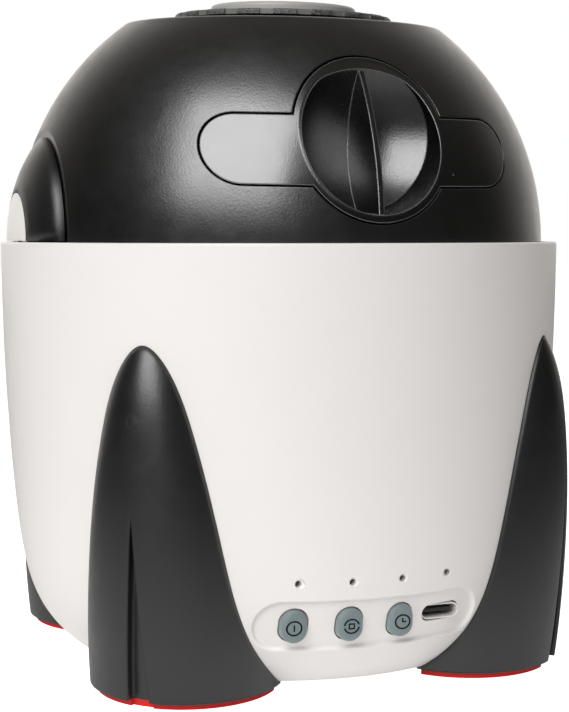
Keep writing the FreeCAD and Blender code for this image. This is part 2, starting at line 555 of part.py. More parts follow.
# ---- control panel pieces ----
def make_button(x):
    face_y = panel_y(x, PANEL_Z, PANEL_RECESS) - BUTTON_PROUD
    low_z = PANEL_Z - BUTTON_HALF_HEIGHT - BUTTON_FLANGE
    side_x = abs(x) + BUTTON_HALF_WIDTH + BUTTON_FLANGE
    flange_y = panel_y(side_x, low_z, PANEL_RECESS + PANEL_WALL) + 0.2
    cap = stadium_y(BUTTON_HALF_WIDTH, BUTTON_HALF_HEIGHT, face_y, flange_y, x, PANEL_Z)
    front = [e for e in cap.Edges if abs(e.BoundBox.YMax - face_y) < 0.01]
    cap = cap.makeFillet(BUTTON_ROUND, front)
    flange = stadium_y(BUTTON_HALF_WIDTH + BUTTON_FLANGE, BUTTON_HALF_HEIGHT + BUTTON_FLANGE,
                       flange_y, flange_y + BUTTON_FLANGE_DEPTH, x, PANEL_Z)
    stem_end = BOARD_FRONT_Y - SWITCH_HEIGHT - PLUNGER_HEIGHT - PLUNGER_GAP
    stem = rod_y(BUTTON_STEM_RADIUS, flange_y, stem_end, x, PANEL_Z)
    return united([cap, flange, stem])


def make_switch(x):
    body_y = BOARD_FRONT_Y - SWITCH_HEIGHT
    body = box(x - SWITCH_HALF, x + SWITCH_HALF, body_y, BOARD_FRONT_Y,
               PANEL_Z - SWITCH_HALF, PANEL_Z + SWITCH_HALF)
    return body.fuse(rod_y(PLUNGER_RADIUS, body_y - PLUNGER_HEIGHT, body_y, x, PANEL_Z))


def make_usb():
    mouth_y = panel_y(USB_X, USB_Z, PANEL_RECESS) + USB_SETBACK
    half_length, half_height = USB_HALF_LENGTH - USB_SHELL, USB_HALF_HEIGHT - USB_SHELL
    outer = stadium_y(USB_HALF_LENGTH, USB_HALF_HEIGHT, mouth_y, BOARD_FRONT_Y, USB_X, USB_Z)
    inner = stadium_y(half_length, half_height, mouth_y - 1, BOARD_FRONT_Y + 1, USB_X, USB_Z)
    shell = outer.cut(inner)
    block_y = mouth_y + USB_DEPTH
    block = stadium_y(half_length, half_height, block_y, BOARD_FRONT_Y, USB_X, USB_Z)
    tongue = box(USB_X - TONGUE_HALF_WIDTH, USB_X + TONGUE_HALF_WIDTH, mouth_y + TONGUE_SETBACK, block_y,
                 USB_Z - TONGUE_HALF_HEIGHT, USB_Z + TONGUE_HALF_HEIGHT)
    return shell, block.fuse(tongue).removeSplitter()


def make_light_guides():
    places = led_places()
    guides = [rod_y(LIGHT_GUIDE_RADIUS, panel_y(x, LED_Z - LIGHT_GUIDE_RADIUS, CUP_WALL + SLIDE_GAP),
                    BOARD_FRONT_Y - LED_HEIGHT - BEARING_GAP, x, LED_Z) for x in places]
    bar_y = BOARD_FRONT_Y - LIGHT_GUIDE_BAR_GAP
    bar = box(places[0] - LIGHT_GUIDE_END, places[-1] + LIGHT_GUIDE_END, bar_y - LIGHT_GUIDE_BAR, bar_y,
              LED_Z - LIGHT_GUIDE_BAR, LED_Z + LIGHT_GUIDE_BAR)
    return united([bar] + guides)


def make_indicator_leds():
    return [box(x - LED_HALF, x + LED_HALF, BOARD_FRONT_Y - LED_HEIGHT, BOARD_FRONT_Y,
                LED_Z - LED_HALF, LED_Z + LED_HALF) for x in led_places()]


# ---- yoke that carries the head ----
def make_yoke():
    limit = cup_plug(CUP_WALL + YOKE_WALL_GAP)
    ring = tube_z(RIM_RADIUS, YOKE_INNER_RADIUS, YOKE_Z, YOKE_Z + YOKE_THICKNESS)
    arms = []
    for side in (-1, 1):
        x0, x1 = sorted((side * ARM_INNER_X, side * ARM_OUTER_X))
        plate = box(x0, x1, -ARM_HALF_WIDTH, ARM_HALF_WIDTH, YOKE_Z, RIM_Z)
        arms.append(plate.fuse(rod_x(ARM_HEAD_RADIUS, x0, x1, 0, RIM_Z)))
        gusset_x0, gusset_x1 = sorted((side * (YOKE_INNER_RADIUS + GUSSET_INSET), side * ARM_OUTER_X))
        arms.append(box(gusset_x0, gusset_x1, -GUSSET_HALF, GUSSET_HALF, YOKE_Z, YOKE_Z + GUSSET_HEIGHT))
    yoke = united([ring] + arms).common(limit)
    for side in (-1, 1):
        x0, x1 = sorted((side * (ARM_INNER_X - 1), side * (ARM_OUTER_X + 1)))
        yoke = yoke.cut(rod_x(HUB_SHAFT_RADIUS + RUNNING_GAP, x0, x1, 0, RIM_Z))
    for angle in POST_ANGLES:
        hole = rod_z(SCREW_HOLE, YOKE_Z - 1, YOKE_Z + YOKE_THICKNESS + 1, 0, -YOKE_POST_RADIUS)
        yoke = yoke.cut(turned(hole, angle))
    return yoke.removeSplitter()


def make_ear():
    """Right ear: domed cover with a round opening, and the cap in it, both cut off above the rim."""
    def arc(low, middle, high):
        return Part.Arc(low, middle, high).toShape()

    def on_profile(radius, x):
        return Vector(x, 0, radius)

    middle_radius, middle_x = EAR_MIDDLE_RADIUS, EAR_MIDDLE_X
    edge, middle = on_profile(EAR_RADIUS, EAR_EDGE_X), on_profile(middle_radius, middle_x)
    lip = on_profile(CAP_RADIUS + EAR_GAP, CAP_EDGE_X)
    lip_inner = on_profile(CAP_RADIUS + EAR_GAP, CAP_EDGE_X - EAR_WALL)
    middle_inner = on_profile(middle_radius - EAR_WALL / 2, middle_x - EAR_WALL)
    edge_inner = on_profile(EAR_RADIUS - EAR_WALL, EAR_EDGE_X)
    dome = revolved([arc(edge, middle, lip), polygon_edges([lip, lip_inner])[0],
                     arc(lip_inner, middle_inner, edge_inner), polygon_edges([edge_inner, edge])[0]],
                    Vector(0, 0, 0), X_AXIS)
    seat_x = ARM_OUTER_X
    shelf_x = CAP_EDGE_X - EAR_WALL
    seat_top = shelf_x + EAR_SEAT_OVERLAP
    seat = rod_x(EAR_SEAT_RADIUS, seat_x, seat_top).cut(rod_x(CAP_RADIUS - CAP_LEDGE, seat_x - 1, CAP_TOP_X))
    cover = dome.fuse(seat)
    cap_base = seat_top + EAR_GAP
    rim = on_profile(CAP_RADIUS, CAP_EDGE_X)
    crown = on_profile(0, CAP_TOP_X)
    shoulder = on_profile(CAP_RADIUS * CAP_SHOULDER, CAP_TOP_X - CAP_SHOULDER_DROP)
    cap = revolved([arc(rim, shoulder, crown), polygon_edges([crown, Vector(cap_base, 0, 0)])[0],
                    polygon_edges([Vector(cap_base, 0, 0), on_profile(CAP_RADIUS, cap_base)])[0],
                    polygon_edges([on_profile(CAP_RADIUS, cap_base), rim])[0]], Vector(0, 0, 0), X_AXIS)
    hollow = rod_x(CAP_RADIUS - CAP_LEDGE, cap_base - 1, HUB_END_X + PIVOT_WASHER + CAP_HOLLOW_GAP)
    cap = cap.cut(hollow)
    above_rim = box(0, FAR, -FAR, FAR, EAR_LIFT, FAR)
    pieces = []
    for piece in (cover, cap):
        piece = piece.common(above_rim)
        piece.translate(Vector(0, 0, RIM_Z))
        pieces.append(piece.removeSplitter())
    return pieces


# ---- base: cover, batteries and boards ----
def make_bottom_cover():
    lip = rod_z(COVER_LIP_RADIUS, CUP_BOTTOM_Z - COVER_LIP, CUP_BOTTOM_Z)
    spigot_radius = cup_radius(CUP_BOTTOM_Z, CUP_WALL + COVER_FIT)
    spigot = rod_z(spigot_radius, CUP_BOTTOM_Z, COVER_TOP_Z)
    cover = lip.fuse(spigot)
    cuts = []
    for i in range(COVER_RIBS):
        gap = box(-COVER_RIB_GAP / 2, COVER_RIB_GAP / 2, -RIM_RADIUS, -COVER_LIP_RADIUS + COVER_RIB_LENGTH,
                  0, CUP_BOTTOM_Z - COVER_LIP / 3)
        cuts.append(turned(gap, (i + 0.5) * 360 / COVER_RIBS))
    for angle in LEG_ANGLES.values():
        hole = rod_z(SCREW_HOLE, 0, COVER_TOP_Z + 1, 0, -COVER_BOSS_R)
        sink = rod_z(SCREW_HEAD + HEAD_CLEARANCE, 0, CUP_BOTTOM_Z + SCREW_HEAD_HEIGHT, 0, -COVER_BOSS_R)
        cuts += [turned(hole, angle), turned(sink, angle)]
    return cover.cut(cuts).removeSplitter()


def make_batteries():
    cell_z = COVER_TOP_Z + HOLDER_WALL + CELL_RADIUS + BEARING_GAP
    half = CELL_LENGTH / 2
    cells = []
    for y in (-CELL_PITCH / 2, CELL_PITCH / 2):
        can = rod_x(CELL_RADIUS, -half, half - CELL_BUTTON, y, cell_z)
        cells.append(can.fuse(rod_x(CELL_BUTTON_RADIUS, half - CELL_BUTTON, half, y, cell_z)))
    end = half + BEARING_GAP
    holder = box(-end - HOLDER_WALL, end + HOLDER_WALL, -HOLDER_SIDE, HOLDER_SIDE, COVER_TOP_Z, cell_z)
    ends = [box(x, x + HOLDER_WALL, -HOLDER_SIDE, HOLDER_SIDE, COVER_TOP_Z, cell_z + HOLDER_END_RISE)
            for x in (-end - HOLDER_WALL, end)]
    holder = united([holder] + ends)
    for y in (-CELL_PITCH / 2, CELL_PITCH / 2):
        pocket = rod_x(CELL_RADIUS + BEARING_GAP, -end, end, y, cell_z)
        above = box(-end, end, y - CELL_RADIUS - BEARING_GAP, y + CELL_RADIUS + BEARING_GAP,
                    cell_z, cell_z + CELL_RADIUS)
        holder = holder.cut(pocket.fuse(above))
    return cells, holder.removeSplitter()


def make_main_board():
    half_x, front_y = MAIN_BOARD_HALF, HOLDER_SIDE + MAIN_BOARD_GAP
    rear_y = front_y + MAIN_BOARD_DEPTH
    board = box(-half_x, half_x, front_y, rear_y, MAIN_BOARD_Z, MAIN_BOARD_Z + BOARD_THICKNESS)
    post_x, post_front, post_rear = half_x - SPACER_INSET, front_y + SPACER_INSET, rear_y - SPACER_INSET
    posts = [rod_z(SPACER_RADIUS, COVER_TOP_Z, MAIN_BOARD_Z, x, y)
             for x in (-post_x, post_x) for y in (post_front, post_rear)]
    top = MAIN_BOARD_Z + BOARD_THICKNESS
    parts = [box(x0, x1, front_y + y0, front_y + y1, top, top + height)
             for x0, x1, y0, y1, height in BOARD_BLOCKS]
    parts += [rod_z(CAPACITOR_RADIUS, top, top + CAPACITOR_HEIGHT, x, rear_y - CAPACITOR_INSET)
              for x in CAPACITOR_X]
    return board, posts, parts


# ---- head ----
def crown_ball(inset):
    """Ball cut flat at both ears and closed by the shallow crown, its surface moved inwards by inset."""
    crown_radius = (CREASE_RADIUS ** 2 + CROWN_RISE ** 2) / (2 * CROWN_RISE)
    crown_centre = Vector(0, 0, CREASE_Z + CROWN_RISE - crown_radius)
    flat_x = BALL_FLAT_X - inset
    body = Part.makeSphere(BALL_RADIUS - inset).common(Part.makeSphere(crown_radius - inset, crown_centre))
    if inset == 0:
        level = [e for e in body.Edges if e.BoundBox.ZLength < 0.01]
        crease = [e for e in level if abs(e.BoundBox.ZMin - CREASE_Z) < 0.1]
        body = body.makeFillet(CREASE_ROUND, crease)
    return body.common(box(-flat_x, flat_x, -FAR, FAR, -BALL_FLOOR + inset, FAR))


def drawer_outline(gap):
    """Bar along Y with the outline of the drawer front: a long tab with a round grip in its middle."""
    tab = stadium_y(TAB_HALF_LENGTH - gap, TAB_HALF_HEIGHT - gap, -FAR, FRONT_CUT_Y, 0, TAB_Z)
    return tab.fuse(rod_y(GRIP_RADIUS - gap, -FAR, FRONT_CUT_Y, 0, GRIP_Z)).removeSplitter()


def head_boss_places():
    return [(x, y) for x in (-SHELL_BOSS_XY, SHELL_BOSS_XY) for y in (-SHELL_BOSS_XY, SHELL_BOSS_XY)]


def post_places():
    return [(x, y) for x in (-POST_X, POST_X) for y in (-POST_Y, POST_Y)]


def make_shells(outer, inner):
    upper = outer.cut(inner).common(box(-FAR, FAR, -FAR, FAR, 0, FAR))
    lower = outer.cut(inner).common(box(-FAR, FAR, -FAR, FAR, -FAR, 0))
    skin = crown_ball(BALL_WALL / 2)
    lens_deck_top = LENS_DECK_Z + DECK_THICKNESS
    upper_bosses = [rod_z(BOSS_RADIUS, 0, SHELL_BOSS_HEIGHT, x, y) for x, y in head_boss_places()]
    for x, y in head_boss_places():
        x0, x1 = sorted((x, math.copysign(BALL_RADIUS, x)))
        upper_bosses.append(box(x0, x1, y - RIB_HALF, y + RIB_HALF, 0, SHELL_BOSS_HEIGHT))
    upper_bosses += [rod_z(POST_RADIUS, lens_deck_top, FAR, x, y) for x, y in post_places()]
    upper = upper.fuse(united(upper_bosses).common(skin))
    lower_radius = SCREW_HEAD + HEAD_CLEARANCE + LOWER_BOSS_WALL
    lower_bosses = [rod_z(lower_radius, -FAR, 0, x, y) for x, y in head_boss_places()]
    lower = lower.fuse(united(lower_bosses).common(skin))
    hole_top = SHELL_SCREW_SEAT + SHELL_SCREW_LENGTH + SCREW_END_GAP
    for x, y in head_boss_places():
        pilot = rod_z(SCREW_HOLE, SHELL_SCREW_SEAT - 1, hole_top, x, y)
        upper = upper.cut(pilot)
        lower = lower.cut([pilot, rod_z(SCREW_HEAD + HEAD_CLEARANCE, -FAR, SHELL_SCREW_SEAT, x, y)])
    hole_top = lens_deck_top + FRAME_SCREW_BITE + SCREW_END_GAP
    for x, y in post_places():
        upper = upper.cut(rod_z(SCREW_HOLE, LENS_DECK_Z, hole_top, x, y))
    hub_hole = rod_x(HUB_SHAFT_RADIUS + BEARING_GAP, -FAR, FAR)
    sleeve_hole = rod_z(RING_SLEEVE_OUTER + SLIDE_GAP, RING_SLEEVE_BOTTOM - BALL_WALL, FAR)
    upper = upper.cut([hub_hole, drawer_outline(0), sleeve_hole])
    lower = lower.cut(hub_hole)
    return upper.removeSplitter(), lower.removeSplitter()


def grip_bowl(inset):
    """Straight-walled round recess with a rounded corner and a shallow domed bottom; open towards -Y."""
    radius, depth = GRIP_RADIUS - DRAWER_GAP - inset, GRIP_BOWL_DEPTH
    wall_y = GRIP_WALL_Y + GRIP_LIP - inset
    corner = min(GRIP_CORNER, 0.8 * depth)
    corner_x = radius - corner
    dome = (corner_x ** 2 + depth ** 2 - corner ** 2) / (2 * (depth - corner))
    turn = math.asin(corner_x / (dome - corner))

    def at(x, y):
        return Vector(x, wall_y + y, GRIP_Z)

    def on_corner(angle):
        return at(corner_x + corner * math.sin(angle), corner * math.cos(angle))

    def on_dome(angle):
        return at(dome * math.sin(angle), depth - dome + dome * math.cos(angle))

    start = Vector(0, -FAR, GRIP_Z)
    edges = polygon_edges([start, Vector(radius, -FAR, GRIP_Z), at(radius, 0)])
    edges.append(Part.Arc(at(radius, 0), on_corner((turn + math.pi / 2) / 2), on_corner(turn)).toShape())
    edges.append(Part.Arc(on_corner(turn), on_dome(turn / 2), at(0, depth)).toShape())
    edges += polygon_edges([at(0, depth), start])
    return revolved(edges, Vector(0, 0, GRIP_Z), Y_AXIS)


def make_drawer_front(outer):
    """Front of the drawer: a plate flush with the ball, a grip bowl with a pull fin, and two lugs."""
    plate = drawer_outline(DRAWER_GAP).cut(crown_ball(DRAWER_WALL))
    front = plate.fuse(grip_bowl(GRIP_LIP / 8)).cut(grip_bowl(GRIP_LIP)).common(outer)
    fin = box(-FIN_THICKNESS / 2, FIN_THICKNESS / 2, -FAR, 0, -FAR, FAR)
    fin = fin.common(grip_bowl(GRIP_LIP / 2)).common(Part.makeSphere(BALL_RADIUS - FIN_SETBACK))
    near, far = TRAY_TONGUE[0] + LUG_INSET, TRAY_TONGUE[1] - LUG_INSET
    lugs = []
    for side in (-1, 1):
        x0, x1 = sorted((side * near, side * far))
        lug = box(x0, x1, -FAR, TRAY_FRONT_Y + LUG_REAR, TRAY_TOP, TRAY_TOP + LUG_HEIGHT)
        hole = rod_z(SCREW_HOLE, TRAY_Z, FAR, side * TONGUE_X, TONGUE_SCREW_Y)
        lugs.append(lug.common(crown_ball(DRAWER_WALL / 2)).cut(hole))
    return front.fuse([fin] + lugs)


def make_tray():
    half = TRAY_HALF_WIDTH
    plate_y = TRAY_FRONT_Y + TRAY_TONGUE_LENGTH
    plate = box(-half, half, plate_y, TRAY_MIDDLE_REAR_Y, TRAY_Z, TRAY_TOP)
    arms = [box(x, x + TRAY_ARM_WIDTH, TRAY_MIDDLE_REAR_Y - 1, TRAY_REAR_Y, TRAY_Z, TRAY_TOP)
            for x in (-half, half - TRAY_ARM_WIDTH)]
    low, high = TRAY_TONGUE
    tongues = [box(x0, x1, TRAY_FRONT_Y, plate_y + 1, TRAY_Z, TRAY_TOP)
               for x0, x1 in ((-high, -low), (low, high))]
    tray = united([plate] + arms + tongues)
    bearing = rod_z(CARRIER_COLLAR_RADIUS + BEARING_GAP, TRAY_Z - 1, TRAY_TOP + 1)
    holes = [rod_z(SCREW_HOLE, TRAY_Z - 1, TRAY_TOP + 1, x, TONGUE_SCREW_Y) for x in (-TONGUE_X, TONGUE_X)]
    return tray.cut([bearing] + holes).common(Part.makeSphere(BALL_INNER - BALL_CLEARANCE))


def gear(teeth, z0, z1, phase):
    """Involute spur gear about Z, with a tooth centred phase degrees from +X."""
    pitch_radius = GEAR_MODULE * teeth / 2
    pressure = math.radians(PRESSURE_ANGLE)
    base_radius = pitch_radius * math.cos(pressure)
    half_tooth = math.pi / (2 * teeth) - TOOTH_THINNING / (2 * pitch_radius)

    def half_angle(radius):
        at_radius = math.acos(min(1.0, base_radius / radius))
        return half_tooth + (math.tan(pressure) - pressure) - (math.tan(at_radius) - at_radius)

    radii = [pitch_radius - DEDENDUM, max(base_radius, pitch_radius - 0.5 * DEDENDUM), pitch_radius,
             pitch_radius + ADDENDUM]
    flank = [(radius, half_angle(radius)) for radius in radii]
    points = []
    for i in range(teeth):
        middle = math.radians(phase) + 2 * math.pi * i / teeth
        tooth = [(r, middle - a) for r, a in flank] + [(r, middle + a) for r, a in reversed(flank)]
        points += [Vector(r * math.cos(a), r * math.sin(a), z0) for r, a in tooth]
    return Part.Face(Part.makePolygon(points + [points[0]])).extrude(Vector(0, 0, z1 - z0))


def make_disc_pieces():
    seat_z = CARRIER_TOP - DISC_THICKNESS - DISC_GAP
    flange = gear(CARRIER_TEETH, CARRIER_Z, CARRIER_TOP, 0)
    collar = rod_z(CARRIER_COLLAR_RADIUS, TRAY_Z + BEARING_GAP, seat_z)
    carrier = flange.fuse(collar).cut([rod_z(CARRIER_BORE, TRAY_Z, CARRIER_TOP + 1),
                                       rod_z(DISC_RADIUS + DISC_GAP, seat_z, CARRIER_TOP + 1)])
    key_y = DISC_RADIUS - DISC_KEY_INSET
    key = rod_z(DISC_KEY_RADIUS, CARRIER_Z, seat_z + DISC_THICKNESS, 0, key_y)
    film = rod_z(DISC_RADIUS, seat_z, seat_z + DISC_THICKNESS)
    notch = rod_z(DISC_KEY_RADIUS + DISC_GAP, seat_z - 1, FAR, 0, key_y)
    carrier = carrier.fuse(key.common(rod_z(DISC_RADIUS + 1, 0, FAR)))
    return carrier.removeSplitter(), film.cut(notch)


def make_tray_guide():
    plate = box(-RAIL_OUTER_X, RAIL_OUTER_X, RAIL_FRONT_Y, RAIL_REAR_Y, DECK_BOTTOM, DECK_TOP)
    behind_grip = GRIP_WALL_Y + GRIP_BOWL_DEPTH + GRIP_LIP + 2 * SLIDE_GAP
    plate = plate.cut(box(-GRIP_RADIUS - 1, GRIP_RADIUS + 1, -FAR, behind_grip, 0, FAR))
    lip_z = TRAY_TOP + SLIDE_GAP
    parts = [plate]
    for side in (-1, 1):
        wall = sorted((side * RAIL_INNER_X, side * RAIL_OUTER_X))
        lip = sorted((side * (RAIL_INNER_X - RAIL_LIP), side * RAIL_OUTER_X))
        parts.append(box(wall[0], wall[1], RAIL_FRONT_Y, RAIL_REAR_Y, DECK_BOTTOM, lip_z + RAIL_LIP_HEIGHT))
        parts.append(box(lip[0], lip[1], RAIL_FRONT_Y, RAIL_REAR_Y, lip_z, lip_z + RAIL_LIP_HEIGHT))
    for x, y in post_places():
        x0, x1 = sorted((x, math.copysign(RAIL_OUTER_X - RAIL_WALL / 2, x)))
        parts.append(rod_z(POST_RADIUS, DECK_BOTTOM, LENS_DECK_Z, x, y))
        parts.append(box(x0, x1, y - RIB_HALF, y + RIB_HALF, DECK_BOTTOM, lip_z + RAIL_LIP_HEIGHT))
    guide = united(parts)
    holes = [rod_z(LAMP_INNER, DECK_BOTTOM - 1, DECK_TOP + 1),
             rod_z(MOTOR_BOSS_RADIUS + MOTOR_BOSS_GAP, DECK_BOTTOM - 1, DECK_TOP + 1, 0, PINION_Y)]
    holes += [rod_z(SCREW_HOLE, 0, FAR, x, y) for x, y in post_places()]
    holes += [rod_z(SCREW_HOLE, 0, FAR, x, y) for x, y in lamp_screw_places()]
    return guide.cut(holes).common(Part.makeSphere(BALL_INNER - BALL_CLEARANCE)).removeSplitter()


def lamp_screw_places():
    radius = LAMP_INNER + LAMP_WALL + SCREW_HEAD + LAMP_SCREW_GAP
    angles = [math.radians(angle) for angle in LAMP_SCREW_ANGLES]
    return [(radius * math.cos(angle), radius * math.sin(angle)) for angle in angles]


def make_lens_mount():
    half_x, half_y, top = POST_X + LENS_DECK_MARGIN, POST_Y + LENS_DECK_MARGIN, LENS_DECK_Z + DECK_THICKNESS
    deck = box(-half_x, half_x, -half_y, half_y, LENS_DECK_Z, top)
    tube = rod_z(LENS_TUBE_OUTER, LENS_DECK_Z, LENS_TUBE_TOP)
    foot = rod_z(LENS_TUBE_OUTER + LENS_FOOT_REACH, LENS_DECK_Z, top + LENS_FOOT_HEIGHT)
    mount = united([deck, tube, foot]).cut(rod_z(LENS_TUBE_INNER, 0, FAR))
    holes = [rod_z(SCREW_HOLE, 0, FAR, x, y) for x, y in post_places()]
    return mount.cut(holes).common(Part.makeSphere(BALL_INNER - BALL_CLEARANCE)).removeSplitter()


def make_lamp_housing():
    tube = rod_z(LAMP_INNER + LAMP_WALL, LAMP_BOTTOM, DECK_BOTTOM)
    flange_z = DECK_BOTTOM - LAMP_FLANGE
    pads = [rod_z(BOSS_RADIUS, flange_z, DECK_BOTTOM, x, y) for x, y in lamp_screw_places()]
    flange = rod_z(LAMP_INNER + LAMP_WALL + LAMP_FLANGE_REACH, flange_z, DECK_BOTTOM)
    housing = united([tube, flange] + pads).cut([rod_z(LAMP_INNER, CONDENSER_Z, FAR),
                                                 rod_z(LAMP_INNER - LAMP_LEDGE, LAMP_BOTTOM - 1, FAR)])
    pocket = rod_z(LED_BOARD_RADIUS + BEARING_GAP, LAMP_BOTTOM - 1, LAMP_BOTTOM + LED_BOARD_THICKNESS)
    holes = [rod_z(SCREW_HOLE, 0, FAR, x, y) for x, y in lamp_screw_places()]
    return housing.cut([pocket] + holes).removeSplitter()


def lens_solid(radius, rim_z, rim_height, crown, hollow=0.0):
    """Round lens about Z: a rim, a domed top of height crown and a flat or hollowed underside."""
    def dome_radius(height):
        return (radius ** 2 + height ** 2) / (2 * height)

    top_z = rim_z + rim_height + crown
    lens = rod_z(radius, rim_z, top_z)
    lens = lens.common(Part.makeSphere(dome_radius(crown), Vector(0, 0, top_z - dome_radius(crown))))
    if hollow > 0:
        centre = Vector(0, 0, rim_z + hollow - dome_radius(hollow))
        lens = lens.cut(Part.makeSphere(dome_radius(hollow), centre))
    return lens


def make_lamp():
    board_top = LAMP_BOTTOM + LED_BOARD_THICKNESS
    board = rod_z(LED_BOARD_RADIUS, LAMP_BOTTOM, board_top)
    package_top = board_top + LED_PACKAGE_HEIGHT
    half = LED_PACKAGE_HALF
    package = box(-half, half, -half, half, board_top, package_top)
    dome = Part.makeSphere(LED_DOME_RADIUS, Vector(0, 0, package_top))
    dome = dome.common(box(-half, half, -half, half, package_top, FAR))
    sink = rod_z(HEAT_SINK_RADIUS, LAMP_BOTTOM - HEAT_SINK_BASE, LAMP_BOTTOM)
    column = rod_z(HEAT_SINK_RADIUS, HEAT_SINK_BOTTOM, LAMP_BOTTOM)
    fin_top = LAMP_BOTTOM - HEAT_SINK_BASE
    for i in range(FIN_COUNT):
        x = (i - (FIN_COUNT - 1) / 2) * FIN_PITCH
        fin = box(x - HEAT_FIN / 2, x + HEAT_FIN / 2, -FAR, FAR, HEAT_SINK_BOTTOM, fin_top)
        sink = sink.fuse(fin.common(column))
    condenser = lens_solid(LAMP_INNER - BEARING_GAP, CONDENSER_Z, CONDENSER_RIM, CONDENSER_CROWN)
    return board, package.fuse(dome), sink.removeSplitter(), condenser


def make_focus_ring():
    body = rod_z(RING_RADIUS, RING_BOTTOM, RING_TOP)
    edge = [e for e in body.Edges if abs(e.BoundBox.ZMin - RING_TOP) < 0.01 and e.BoundBox.ZLength < 0.01]
    body = body.makeChamfer(RING_CHAMFER, edge)
    width = 2 * math.pi * RING_RADIUS / RING_GRIPS * RING_GRIP_SHARE
    notch = box(-width / 2, width / 2, -FAR, -RING_RADIUS + RING_GRIP_DEPTH, RING_BOTTOM - 1, FAR)
    body = body.cut([turned(notch, (i + 0.5) * 360 / RING_GRIPS) for i in range(RING_GRIPS)])
    sleeve = rod_z(RING_SLEEVE_OUTER, RING_SLEEVE_BOTTOM, RING_BOTTOM + 0.2)
    return body.fuse(sleeve).cut(rod_z(RING_BORE, 0, FAR)).removeSplitter()


def make_barrel():
    barrel = tube_z(BARREL_OUTER, BARREL_INNER, BARREL_BOTTOM, BEZEL_BOTTOM)
    ledge_radius = BARREL_OUTER - BARREL_WALL / 3
    rear_z = REAR_LENS_Z + LENS_RIM + REAR_LEDGE_GAP
    front_z = FRONT_LENS_Z - BARREL_LEDGE
    ledges = [tube_z(ledge_radius, FRONT_LENS_RADIUS - LENS_OVERLAP, front_z, FRONT_LENS_Z),
              tube_z(ledge_radius, REAR_LENS_RADIUS - LENS_OVERLAP, rear_z, rear_z + BARREL_LEDGE)]
    return united([barrel] + ledges)


def make_bezel():
    bezel = rod_z(BEZEL_RADIUS, BEZEL_BOTTOM, BEZEL_TOP)
    edge = [e for e in bezel.Edges if abs(e.BoundBox.ZMin - BEZEL_TOP) < 0.01 and e.BoundBox.ZLength < 0.01]
    bezel = bezel.makeFillet(BEZEL_ROUND, edge)
    mouth = Part.makeCone(FRONT_LENS_RADIUS + MOUTH_INNER, FRONT_LENS_RADIUS + MOUTH_OUTER,
                          BEZEL_TOP - BEZEL_BOTTOM, Vector(0, 0, BEZEL_BOTTOM), Z_AXIS)
    return bezel.cut(mouth)


def make_motor():
    rear = DECK_BOTTOM - MOTOR_LENGTH
    can = rod_z(MOTOR_RADIUS, rear, DECK_BOTTOM, 0, PINION_Y)
    boss = rod_z(MOTOR_BOSS_RADIUS, DECK_BOTTOM, DECK_TOP - MOTOR_BOSS_GAP, 0, PINION_Y)
    tail = rod_z(MOTOR_TAIL_RADIUS, rear - MOTOR_TAIL, rear, 0, PINION_Y)
    shaft = rod_z(MOTOR_SHAFT, DECK_BOTTOM, CARRIER_TOP - SLIDE_GAP, 0, PINION_Y)
    pinion = gear(PINION_TEETH, CARRIER_Z + BEARING_GAP, CARRIER_TOP, -90 + 180 / PINION_TEETH)
    pinion = pinion.cut(rod_z(MOTOR_SHAFT + SCREW_GAP, 0, FAR))
    pinion.translate(Vector(0, PINION_Y, 0))
    return united([can, boss, tail, shaft]), pinion


def make_hub():
    """Right tilt hub: a flange inside the ball's flat, and the shaft that turns in the yoke's arm."""
    flange = rod_x(HUB_FLANGE_RADIUS, FLAT_INNER_X - HUB_FLANGE, FLAT_INNER_X)
    shaft = rod_x(HUB_SHAFT_RADIUS, FLAT_INNER_X - HUB_FLANGE, HUB_END_X)
    return flange.fuse(shaft).cut(rod_x(SCREW_HOLE, 0, FAR)).removeSplitter()


def make_pivot_screw():
    washer = rod_x(PIVOT_WASHER_RADIUS, HUB_END_X, HUB_END_X + PIVOT_WASHER)
    shank = rod_x(SCREW_SHANK, HUB_END_X - PIVOT_SCREW_LENGTH, HUB_END_X)
    half_length, half_width = PIVOT_CROSS_LENGTH / 2, PIVOT_CROSS_WIDTH / 2
    slot = box(HUB_END_X + PIVOT_WASHER / 2, FAR, -half_length, half_length, -half_width, half_width)
    return washer.fuse(shank).cut(slot.fuse(turned(slot, 90, X_AXIS)))


def make_friction_washer():
    washer = rod_x(HUB_FLANGE_RADIUS, BALL_FLAT_X, ARM_INNER_X - BEARING_GAP)
    return washer.cut(rod_x(HUB_SHAFT_RADIUS + SLIDE_GAP, 0, FAR))


